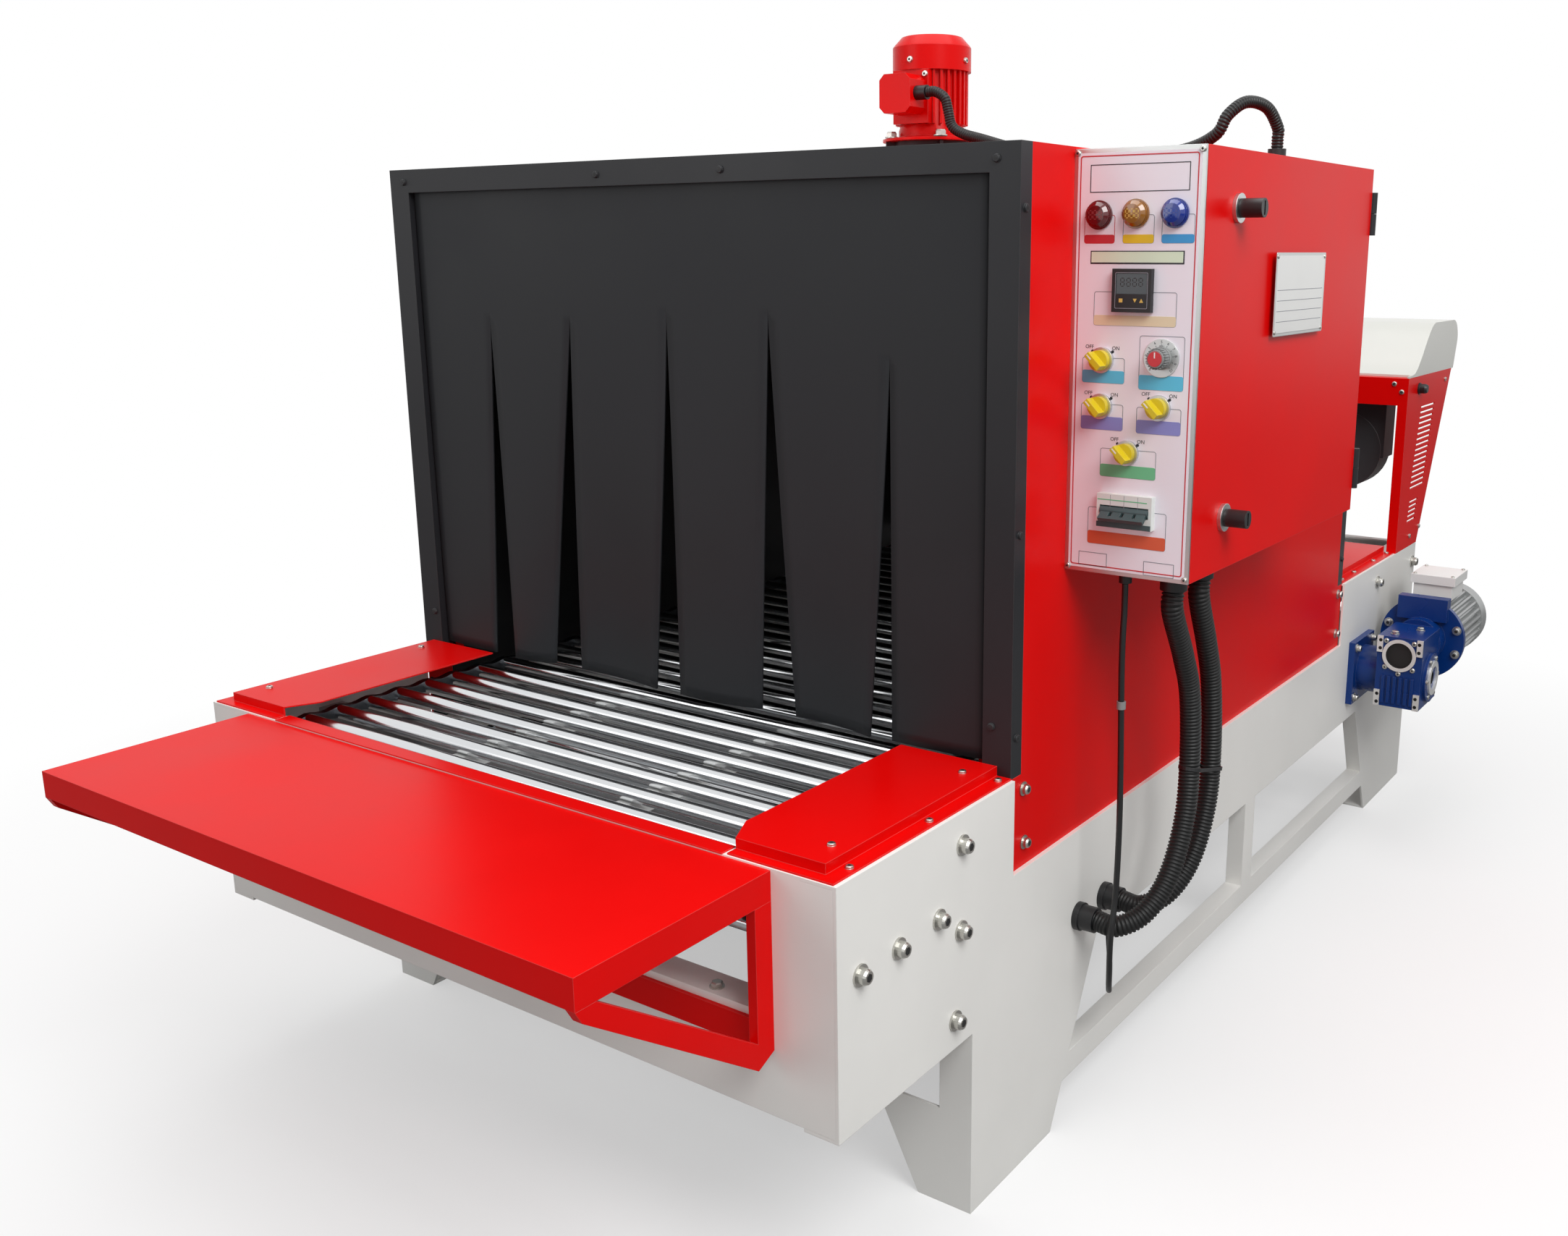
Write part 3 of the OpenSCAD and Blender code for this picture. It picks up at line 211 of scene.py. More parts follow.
# Pale thermoplastic of the breaker
BREAKER = surface("moulded_polyamide_pale_grey", "#dfe4e0", 0.4, 0.8, 0.03, corner=0.5)
# Dark green-grey breaker toggles and foot
TEAL = surface("moulded_polyamide_dark_teal", "#3d5153", 0.4, 0.8, 0.03, corner=0.5)
# Moulded dark grey of the cooling fans
FAN_GREY = surface("moulded_polypropylene_dark_grey", "#37383a", 0.4, 1.5, 0.08, drift=0.1)
# White lacquer of the cowl
COWL = surface("lacquered_sheet_white", "#d9d9d3", 0.36, 2.5, 0.05, drift=0.03)
# Printed film on the panel: pale lilac, smooth
FILM = surface("printed_film_lilac", "#f2ebf3", 0.3, 1.0, 0.01, drift=0.02, corner=0.2, edge_highlight_and_wear=0)
# Tinted lamp lenses
LENS_RED = surface("tinted_lens_red", "#5a0f14", 0.12, 3, 0.02, Coat_Weight=0.8)
LENS_AMBER = surface("tinted_lens_amber", "#8f5a10", 0.12, 3, 0.02, Coat_Weight=0.8)
LENS_BLUE = surface("tinted_lens_blue", "#0c2a86", 0.12, 3, 0.02, Coat_Weight=0.8)
# Smoked screen of the controller
SCREEN = surface("smoked_acrylic", "#2b3238", 0.1, 3, 0.01, corner=0.2, edge_highlight_and_wear=0, Coat_Weight=0.8)
# Near black: painted shade in the recesses of screw heads, in the bores and in the lug holes; also the dark
# colour of the controller's unlit figures
SHADE = surface("dark_recess", "#141414", 0.6, 0.8, 0.02, edge_highlight_and_wear=0)
# Dark galvanised finish on the hood's inner faces, near black: painted shade of the hood's inside, dark
# against the daylight outside
HOOD_INSIDE_SHADE = surface("hood_inside_painted_shade", "#2d2d2e", 0.5, 4, 0.1, drift=0.2, Metallic=0.5)
# Dull galvanised bar that carries the cooling fans
GALVANISED = surface("galvanised_bar", "#8c8f90", 0.45, 3, 0.05, drift=0.1, Metallic=0.7)


def ink(name, code):
    """Screen-printed colour: even, with a soft sheen."""
    return surface("screen_print_" + name, code, 0.38, 0.8, 0.01, drift=0.02, corner=0.1, edge_highlight_and_wear=0)


INK_BLACK = ink("black", "#2a2a30")
INK_RED = ink("red", "#c9343c")
INK_GREEN = ink("green", "#dcebd0")
INK_YELLOW = ink("yellow", "#e8c31c")
INK_BLUE = ink("blue", "#3b9ad6")
INK_BEIGE = ink("beige", "#e6d6b4")
INK_SKY = ink("sky", "#5fc3e6")
INK_PURPLE = ink("purple", "#8d8fd0")
INK_MINT = ink("mint", "#6fc08e")
INK_ORANGE = ink("orange", "#d95f3e")
INK_WHITE = ink("white", "#f0efec")
INK_GOLD = ink("gold", "#d8b65a")
INK_GREY = ink("grey", "#8a8c94")
INK_DULL_RED = ink("dull_red", "#8d3a3c")
INK_DULL_BLUE = ink("dull_blue", "#27489c")

# Nodes of each finish
FINISHES = {
    WHITE: "side_frame_right side_frame_left front_apron rear_apron",
    RED: "infeed_tray tray_bracket infeed_cover_right infeed_cover_left outfeed_cover_right "
         "outfeed_cover_left hood_wall_right hood_wall_left hood_roof control_box control_door "
         "outfeed_portal",
    RED_ENAMEL: "fan_motor fan_cowl fan_terminal_box",
    # The fan's stool, which shows dark maroon in the shade under the fan's flange, takes this near-black
    # coat: its colour is partly painted shade
    BLACK_COAT: "front_frame rear_frame fan_stool door_hinges",
    CHROME: "conveyor_rods",
    STEEL: "cross_bars tail_shaft head_shaft drive_shaft",
    PLANED: "support_rails",
    CHAIN: "conveyor_chains",
    IRON: "shaft_bearings",
    STAINLESS: "control_panel lock_bezels switch_bezels",
    ABS_BLACK: "door_lock_upper door_lock_lower temperature_controller conduit_glands",
    ABS_YELLOW: "selector_conveyor selector_heater selector_hot_fan selector_cool_fan",
    ABS_GREY: "speed_knob",
    BREAKER: "mains_breaker",
    TEAL: "breaker_toggles",
    LENS_RED: "lamp_red",
    LENS_AMBER: "lamp_amber",
    LENS_BLUE: "lamp_blue",
    BLUE: "gearbox",
    CAST: "gear_motor",
    LACQUER: "motor_terminal_box",
    FAN_GREY: "cooling_fans",
    COWL: "cooling_cowl",
}
for material, names in FINISHES.items():
    for name in names.split():
        nodes[name].data.materials.clear()
        nodes[name].data.materials.append(material)


def refinish(name, material, chosen):
    """Another finish for the faces of a node that a test of middle, in millimetres, and normal picks."""
    mesh = nodes[name].data
    mesh.materials.append(material)
    for face in mesh.polygons:
        if chosen((face.center - mm(0, 0, 0)) * 1000, face.normal):
            face.material_index = len(mesh.materials) - 1


# The hood's walls and roof take the painted shade on their inner faces
refinish("hood_wall_right", HOOD_INSIDE_SHADE, lambda middle, normal: normal.x < -0.9)
refinish("hood_wall_left", HOOD_INSIDE_SHADE, lambda middle, normal: normal.x > 0.9)
refinish("hood_roof", HOOD_INSIDE_SHADE, lambda middle, normal: normal.z < -0.9)
# Knuckles of the door's hinges: place of their axis and reach from it
HINGE, KNUCKLE = Vector((702, 746)), 7.5
refinish("control_door", BLACK_COAT, lambda middle, normal: (middle.xy - HINGE).length < KNUCKLE)

# Gear housing: side plate that carries it, face of its cap, face of its boss, the two axes and their bores
PLATE = edge("side_frame_right", 0, 1)
CAP = edge("gearbox", 1, 0)
BOSS = PLATE + 146
WORM = Vector((643, 0, 395))
OUTPUT = Vector((0, 1383, 344))
CAP_BORE, OUTPUT_BORE = 26, 22


def off_worm(middle):
    """Distance from the worm's axis."""
    return Vector((middle.x - WORM.x, middle.z - WORM.z)).length


def off_output(middle):
    """Distance from the output shaft's axis."""
    return Vector((middle.y - OUTPUT.y, middle.z - OUTPUT.z)).length


def in_bore(middle, normal):
    """Whether a face lies in the bore of the cap or of the output."""
    in_cap = off_worm(middle) < CAP_BORE and CAP + 1 < middle.y < CAP + 15
    in_output = off_output(middle) < OUTPUT_BORE and middle.x > PLATE + 60
    return in_cap or in_output


refinish("gearbox", MACHINED, lambda middle, normal: normal.y < -0.9 and middle.y < CAP + 1)
# The faces in the bores of the cap and the output are near black: painted shade of the bores
refinish("gearbox", SHADE, in_bore)


# Making pieces

# Bend past which an edge of a smooth piece stays sharp, in degrees
SHARP = 24


def piece(name, shape, materials, body="machine", smooth=False):
    """Turns a bmesh into a piece that rides on a body; smooth shades its curved faces as one."""
    bmesh.ops.recalc_face_normals(shape, faces=shape.faces)
    mesh = bpy.data.meshes.new(name)
    shape.to_mesh(mesh)
    shape.free()
    for material in materials:
        mesh.materials.append(material)
    if smooth:
        mesh.shade_smooth()
        mesh.set_sharp_from_angle(angle=math.radians(SHARP))
    return settle(placed(name, mesh), body)


def settle(made, body):
    """Lets a piece ride on a body."""
    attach(made, body)
    return made


def applied(made):
    """Replaces an object's mesh by what its modifiers make of it."""
    graph = bpy.context.evaluated_depsgraph_get()
    mesh = bpy.data.meshes.new_from_object(made.evaluated_get(graph))
    made.modifiers.clear()
    made.data = mesh
    return made


# Corners of a box, and its faces as numbers of those corners
SIGNS = [(x, y, z) for z in (-1, 1) for x, y in ((-1, -1), (1, -1), (1, 1), (-1, 1))]
BOX_FACES = [(0, 3, 2, 1), (4, 5, 6, 7), (0, 1, 5, 4), (1, 2, 6, 5), (2, 3, 7, 6), (3, 0, 4, 7)]


def oriented_box(shape, middle, axes, half):
    """Box around a point, with its half sizes in millimetres along three directions."""
    reach = [axis * size / 1000 for axis, size in zip(axes, half)]
    corners = []
    for signs in SIGNS:
        offset = sum((step * sign for step, sign in zip(reach, signs)), Vector())
        corners.append(shape.verts.new(middle + offset))
    for face in BOX_FACES:
        shape.faces.new([corners[i] for i in face])


def polar(u, v, r, turn):
    """Point at a distance from another, in a direction given in degrees."""
    a = math.radians(turn)
    return u + r * math.cos(a), v + r * math.sin(a)


def box(u0, v0, u1, v1, r=0.0):
    """Outline of a rectangle with rounded corners."""
    if r <= 0:
        return [(u0, v0), (u1, v0), (u1, v1), (u0, v1)]
    centres = [(u1 - r, v1 - r, 0), (u0 + r, v1 - r, 90), (u0 + r, v0 + r, 180), (u1 - r, v0 + r, 270)]
    return [polar(u, v, r, a + k * 22.5) for u, v, a in centres for k in range(5)]


def disc(u, v, r, sides=20):
    """Outline of a circle."""
    return [polar(u, v, r, 360 * k / sides) for k in range(sides)]


def bar(u0, v0, u1, v1, width):
    """Outline of a straight line of this width."""
    along = Vector((u1 - u0, v1 - v0)).normalized()
    du, dv = along.y * width / 2, -along.x * width / 2
    return [(u0 + du, v0 + dv), (u1 + du, v1 + dv), (u1 - du, v1 - dv), (u0 - du, v0 - dv)]


def skin(shape, loops, closed=False):
    """Faces between neighbouring loops of corners, closed to the first loop or capped at both ends."""
    faces = []
    for a, b in zip(loops, loops[1:] + loops[:1] if closed else loops[1:]):
        faces += [shape.faces.new((a[i - 1], a[i], b[i], b[i - 1])) for i in range(len(a))]
    if not closed:
        faces += [shape.faces.new(loops[0]), shape.faces.new(loops[-1])]
    return faces


def lathe(shape, centre, profile, sides=72):
    """Solid turned about an upright axis; the profile holds radii and heights from its foot to its top."""
    skin(shape, [[shape.verts.new(mm(u, v, z)) for u, v in disc(*centre, r, sides)] for r, z in profile])


def slab(shape, outline, place, low, high, index=0):
    """Solid plate of an outline, from one height above the face to another."""
    loops = [[shape.verts.new(place(u, v, lift)) for u, v in outline] for lift in (low, high)]
    for face in skin(shape, loops):
        face.material_index = index


def ring(shape, outer, inner, place, low, high, index=0):
    """Solid band between two outlines with as many points."""
    lines = ((outer, low), (outer, high), (inner, high), (inner, low))
    loops = [[shape.verts.new(place(u, v, lift)) for u, v in line] for line, lift in lines]
    for face in skin(shape, loops, closed=True):
        face.material_index = index


def border(shape, u0, v0, u1, v1, width, radii, place, low, high, index):
    """Solid frame of a rectangle; the radii are those of its outer and inner corners."""
    inner = box(u0 + width, v0 + width, u1 - width, v1 - width, radii[1])
    ring(shape, box(u0, v0, u1, v1, radii[0]), inner, place, low, high, index)


# Castings and pressings

# Circulation fan: axis, foot of its flange, its neck's top, foot of its cowl, and top
FAN = (5, 645)
FAN_LOW = edge("fan_motor", 2, 0)
FAN_NECK = FAN_LOW + 26
FAN_TOP = edge("fan_cowl", 2, 1) - 7
FAN_COWL = FAN_TOP - 54
# Radii of its flange, neck, core, fins and cowl; number of fins, their half depth and half thickness
FLANGE_R, NECK_R, CORE_R, FIN_R, COWL_R = 80, 54, 51, 59, 63.5
FINS, FIN_DEPTH, FIN_THICK = 30, 5, 1.9
# Pad behind the fan's terminal box: middle of its width, half its width and its face
PAD_X, PAD_W, PAD_Y = 3, 33, 585


def fan_castings():
    """Motor of the circulation fan: flange, neck, fins, a pad for the terminal box and a pressed cowl."""
    shape = bmesh.new()
    lathe(shape, FAN, [(FLANGE_R, FAN_LOW), (FLANGE_R, FAN_LOW + 4), (NECK_R, FAN_LOW + 8),
                       (NECK_R, FAN_NECK - 9), (CORE_R, FAN_NECK), (CORE_R, FAN_COWL + 1)])
    middle, half = (FAN_NECK + FAN_COWL) / 2, (FAN_COWL - FAN_NECK) / 2
    for k in range(FINS):
        out = Vector((*polar(0, 0, 1, 360 * (k + 0.5) / FINS), 0))
        spot = mm(*FAN, middle) + out * (FIN_R - FIN_DEPTH) / 1000
        oriented_box(shape, spot, (out, AXES[2].cross(out), AXES[2]), (FIN_DEPTH, FIN_THICK, half))
    pad = mm(PAD_X, (PAD_Y + FAN[1]) / 2, middle)
    oriented_box(shape, pad, AXES, (PAD_W, (FAN[1] - PAD_Y) / 2, half))
    made = piece("fan_motor_casting", shape, [RED_ENAMEL], smooth=True)
    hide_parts("fan_motor")
    shape = bmesh.new()
    lathe(shape, FAN, [(COWL_R, FAN_COWL), (COWL_R, FAN_TOP - 17), (COWL_R - 2, FAN_TOP - 14),
                       (COWL_R - 14, FAN_TOP - 1), (COWL_R - 17, FAN_TOP)])
    made = piece("fan_cowl_pressing", shape, [RED_ENAMEL], smooth=True)
    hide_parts("fan_cowl")


# Gear housing: its two sides, its foot and top, half sizes of its lugs and ribs, the ribs' row, and its ring
GEAR_X = (600, 686)
GEAR_Z = (290, 430)
LUG = (5.5, 2.2, 16)
RIB = (3, 2, 27)
RIBS, RIB_PITCH, RIB_Z = 6, 11, 325
RING_R, RING_BORE = 34, 23


def gear_trim():
    """Machined lugs on the gear housing's corners, ribs under its cap and the ring round its output."""
    shape = bmesh.new()
    for x in (GEAR_X[0] + LUG[0], GEAR_X[1] - LUG[0]):
        for z in (GEAR_Z[0] + LUG[2], GEAR_Z[1] - LUG[2]):
            oriented_box(shape, mm(x, CAP + LUG[1], z), AXES, LUG)
    ring(shape, disc(0, 0, RING_R, 48), disc(0, 0, RING_BORE, 48),
         lambda u, v, lift: mm(BOSS + lift, OUTPUT.y + u, OUTPUT.z + v), -0.5, 4)
    piece("gear_machined_faces", shape, [MACHINED], smooth=True)
    shape = bmesh.new()
    for k in range(RIBS):
        x = WORM.x + RIB_PITCH * (k - (RIBS - 1) / 2)
        oriented_box(shape, mm(x, CAP + LUG[1], RIB_Z), AXES, RIB)
    piece("gear_ribs", shape, [BLUE])


# Cooling fans: front of the portal, its roof, and the place and size of a scroll
ARCH = edge("outfeed_portal", 1, 0)
ROOF = edge("outfeed_portal", 2, 1)
SCROLL_X, SCROLL_R, SCROLL_DROP = 400, 88, 162
SCROLL_Z = ROOF - 3 - SCROLL_DROP


def cooling_scrolls():
    """Two fans under the portal's roof, with spiral housings, necks and motors, and a bar before them."""
    front, back = ARCH + 60, ARCH + 130
    motor_r, motor_l = 34, 50
    spiral = [polar(0, 0, SCROLL_R * (0.86 + 0.14 * k / 35), 10 * k - 180) for k in range(36)]
    shape = bmesh.new()
    for side in (-1, 1):
        def place(u, v, lift):
            return mm(side * (SCROLL_X + u), lift, SCROLL_Z + v)
        slab(shape, spiral, place, front, back)
        slab(shape, box(-SCROLL_R / 10, -10, SCROLL_R, SCROLL_DROP), place, front + 1, back - 1)
        slab(shape, disc(0, 0, motor_r, 32), place, back - 1, back + motor_l)
    made = piece("cooling_fan_scrolls", shape, [FAN_GREY], smooth=True)
    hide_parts("cooling_fans")
    shape = bmesh.new()
    oriented_box(shape, mm(0, front - 9, SCROLL_Z + 67), AXES, (SCROLL_X, 11, 13))
    piece("cooling_fan_bar", shape, [GALVANISED])


def cowl_sheet():
    """White cowl over the portal: it rises in a smooth curve, ends in a round and has a toe at each side."""
    length, height, foot, set_back, round_r = 348, 106, 5, 25, 45
    rise = []
    for k in range(11):
        t = k / 10
        rise.append((3 + 150 * t, foot + (height - foot) * (3 - 2 * t) * t ** 2))
    back = [polar(length - round_r, height - round_r, round_r, a) for a in range(90, -1, -9)]
    toe = [(-set_back, 0), (-set_back, foot - 1), (0, foot), (0, 0)]

    def place(u, v, lift):
        return mm(lift, ARCH + set_back + u, ROOF + v)
    shape = bmesh.new()
    slab(shape, [(0, 0), (0, foot), *rise, *back, (length - 20, 0)], place, -PLATE, PLATE)
    for side in (-1, 1):
        slab(shape, toe, place, side * (PLATE - 4), side * PLATE)
    made = piece("cowl_sheet", shape, [COWL], smooth=True)
    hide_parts("cooling_cowl")


def tray_hook():
    """Rear edge of the tray, hooked over the flange on the apron's top."""
    front, top = edge("front_apron", 1, 0), edge("front_apron", 2, 1)
    half = (edge("infeed_cover_right", 0, 0) + 16, 11, 0.8)
    shape = bmesh.new()
    oriented_box(shape, mm(0, front + half[1] - 1, top + half[2]), AXES, half)
    piece("tray_hook", shape, [RED])


fan_castings()
gear_trim()
cooling_scrolls()
cowl_sheet()
tray_hook()


# Conduits and cable: the routes of the part's own tubes, in the machine's millimetres

FRONT_ROUTE = [(650, 206, 744), (650, 206, 716), (650, 246, 650), (650, 274, 590), (650, 284, 500),
               (652, 270, 420), (648, 235, 350), (632, 200, 308), (604, 176, 290), (574, 176, 290)]
REAR_ROUTE = [(650, 290, 744), (650, 290, 716), (650, 322, 650), (650, 345, 590), (650, 357, 500),
              (652, 346, 420), (648, 312, 350), (632, 275, 308), (604, 251, 290), (574, 251, 290)]
CABLE_ROUTE = [(606, 160, 756), (606, 160, 720), (606, 158, 650), (606, 167, 465), (606, 164, 346),
               (606, 153, 285), (600, 165, 222), (586, 196, 184), (568, 234, 170), (550, 272, 180),
               (535, 298, 200), (530, 305, 218), (530, 305, 235)]
FAN_ROUTE = [(52, 560, 1395), (66, 560, 1395), (84, 560, 1384), (91, 560, 1363), (98, 560, 1342),
             (118, 560, 1330), (155, 557, 1320), (250, 535, 1296), (350, 505, 1280), (450, 470, 1279),
             (540, 438, 1284), (588, 424, 1300), (602, 428, 1324), (617, 452, 1341),
             (632, 486, 1336), (640, 508, 1312), (640, 510, 1300), (640, 510, 1285)]


# Steps on each span of a tube's line, and a coarser count of steps
TUBE_STEPS, PATH_STEPS = 16, 3


def spline(route, steps):
    """Smooth curve through a route's points, with this many steps on each span."""
    line = [mm(*p) for p in route]
    line = [2 * line[0] - line[1], *line, 2 * line[-1] - line[-2]]
    points = []
    for a, b, c, d in zip(line, line[1:], line[2:], line[3:]):
        for k in range(steps):
            t = k / steps
            points.append(0.5 * (2 * b + (c - a) * t + (2 * a - 5 * b + 4 * c - d) * t ** 2
                                 + (3 * b - a - 3 * c + d) * t ** 3))
    return points + [line[-2]]


def run_of(points):
    """Distance of each point along its line."""
    run = [0.0]
    for a, b in zip(points, points[1:]):
        run.append(run[-1] + (b - a).length)
    return run


def at_run(points, run, s):
    """Point and heading at a distance along a line."""
    i = max(k for k in range(len(run) - 1) if run[k] <= s + 1e-9)
    share = (s - run[i]) / (run[i + 1] - run[i])
    ahead = points[min(i + 2, len(points) - 1)] - points[max(i - 1, 0)]
    return points[i].lerp(points[i + 1], share), ahead.normalized()


def flexible(name, node, route, diameter, rib, groove, material, sides=20):
    """Tube along a route, with ribs of this pitch and grooves of this depth, in millimetres."""
    line = spline(route, TUBE_STEPS)
    run = run_of(line)
    count = round(run[-1] * 1000 / rib)
    radius = diameter / 2000
    profile = [(0.0, 0), (0.5, 0), (0.62, groove / 1000), (0.88, groove / 1000)]
    stops = [((k + share) / count * run[-1], cut) for k in range(count) for share, cut in profile]
    shape = bmesh.new()
    rings = []
    side = None
    for s, cut in stops + [(run[-1], 0)]:
        spot, ahead = at_run(line, run, s)
        side = (side or ahead.orthogonal()) - ahead * ahead.dot(side or ahead.orthogonal())
        side.normalize()
        across = ahead.cross(side)
        outline = disc(0, 0, radius - cut, sides)
        rings.append([shape.verts.new(spot + side * u + across * v) for u, v in outline])
    for face in skin(shape, rings)[:-2]:
        face.smooth = True
    made = piece(name, shape, [material])
    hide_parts(node)


flexible("front_conduit_hose", "front_conduit", FRONT_ROUTE, 28, 5.0, 1.4, CONDUIT)
flexible("rear_conduit_hose", "rear_conduit", REAR_ROUTE, 28, 5.0, 1.4, CONDUIT)
flexible("fan_conduit_hose", "top_conduit", FAN_ROUTE, 16, 4.0, 0.9, CONDUIT, 16)
flexible("sensor_lead", "signal_cable", CABLE_ROUTE, 8, 6.0, 0.0, SHEATH, 12)


def cable_tie():
    """Band round the two conduits, with its lock and cut end; and a clip on the lead beside them."""
    near, far = mm(651, 284, 486), mm(651, 356.5, 466)
    along = (far - near).normalized()
    across = Vector(RIGHT)
    up = across.cross(along)
    inner, outer, half = 14.2, 15.7, 2.4
    shape = bmesh.new()
    loops = []
    for radius, lift in ((inner, -half), (outer, -half), (outer, half), (inner, half)):
        line = []
        for middle, start in ((near, 90), (far, 270)):
            for k in range(13):
                u, v = polar(0, 0, radius, start + 15 * k)
                line.append(shape.verts.new(middle + (along * u + across * v + up * lift) / 1000))
        loops.append(line)
    skin(shape, loops, closed=True)
    lock = far + along * 0.018
    oriented_box(shape, lock, (along, across, up), (3, 3.5, 3.5))
    oriented_box(shape, lock + along * 0.007, (along, across, up), (6, 0.7, 2.2))
    piece("conduit_tie", shape, [ABS_BLACK])
    clip_r, clip_h, clip_z = 0.0058, 0.010, 0.6
    shape = bmesh.new()
    spot = min(spline(CABLE_ROUTE, TUBE_STEPS), key=lambda point: abs(point.z - clip_z))
    bmesh.ops.create_cone(shape, cap_ends=True, segments=16, radius1=clip_r, radius2=clip_r, depth=clip_h,
                          matrix=Matrix.Translation(spot))
    piece("lead_clip", shape, [ABS_GREY])


cable_tie()


# Curtains: rubber sheets slit into strips, which twist and curl a little towards their free ends

# Slits: centre and half width at the bottom, centre of the top and drop of the top below the hood's top
SLITS = [(-354, 24, -347, 215), (-229, 28, -181, 205), (-16, 23, 1, 200), (173, 29, 174, 195),
         (348, 16, 360, 245)]
# Twist and curl of each strip at its lower end, in millimetres
TWISTS = [(3, 2), (-7, 6), (6, -5), (-6, 7), (7, -6), (-3, 3)]
HOOD_TOP = edge("front_frame", 2, 1)


def curtain(name, node, out):
    """Curtain in a frame; out is -1 where the outside lies ahead and 1 where it lies behind."""
    left, right = edge(node, 0, 0), edge(node, 0, 1)
    low, top = edge(node, 2, 0), edge(node, 2, 1)
    face_y = (edge(node, 1, 0) + edge(node, 1, 1)) / 2
    columns, rows, thickness, bend = 10, 44, 0.003, 1.6
    shape = bmesh.new()
    walls = [None, *SLITS, None]
    for index, (twist, curl) in enumerate(TWISTS):
        grid = []
        for r in range(rows + 1):
            z = top + (low - top) * r / rows
            ends, drops = [], []
            for slit, border, sign in ((walls[index], left, 1), (walls[index + 1], right, -1)):
                if slit is None:
                    ends.append(border)
                    continue
                slit_top = HOOD_TOP - slit[3]
                drop = max(0.0, (slit_top - z) / (slit_top - low))
                drops.append(drop)
                ends.append(slit[2] + (slit[0] - slit[2] + sign * slit[1]) * drop)
            hang = min(drops) ** bend
            line = []
            for c in range(columns + 1):
                u = c / columns
                bow = twist * (2 * u - 1) + curl * (1 - 4 * (u - 0.5) ** 2)
                x = ends[0] + (ends[1] - ends[0]) * u
                line.append(shape.verts.new(mm(x, face_y + out * bow * hang, z)))
            grid.append(line)
        for a, b in zip(grid, grid[1:]):
            for c in range(columns):
                shape.faces.new((a[c], b[c], b[c + 1], a[c + 1])).smooth = True
    bmesh.ops.remove_doubles(shape, verts=shape.verts, dist=0.0002)
    area = sum(f.calc_area() for f in shape.faces)
    made = piece(name, shape, [RUBBER])
    sheet = made.modifiers.new("thickness", "SOLIDIFY")
    sheet.thickness = thickness
    sheet.offset = 0
    applied(made)
    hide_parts(node)


curtain("front_curtain_strips", "front_curtain", -1)
curtain("rear_curtain_strips", "rear_curtain", 1)


# Fasteners

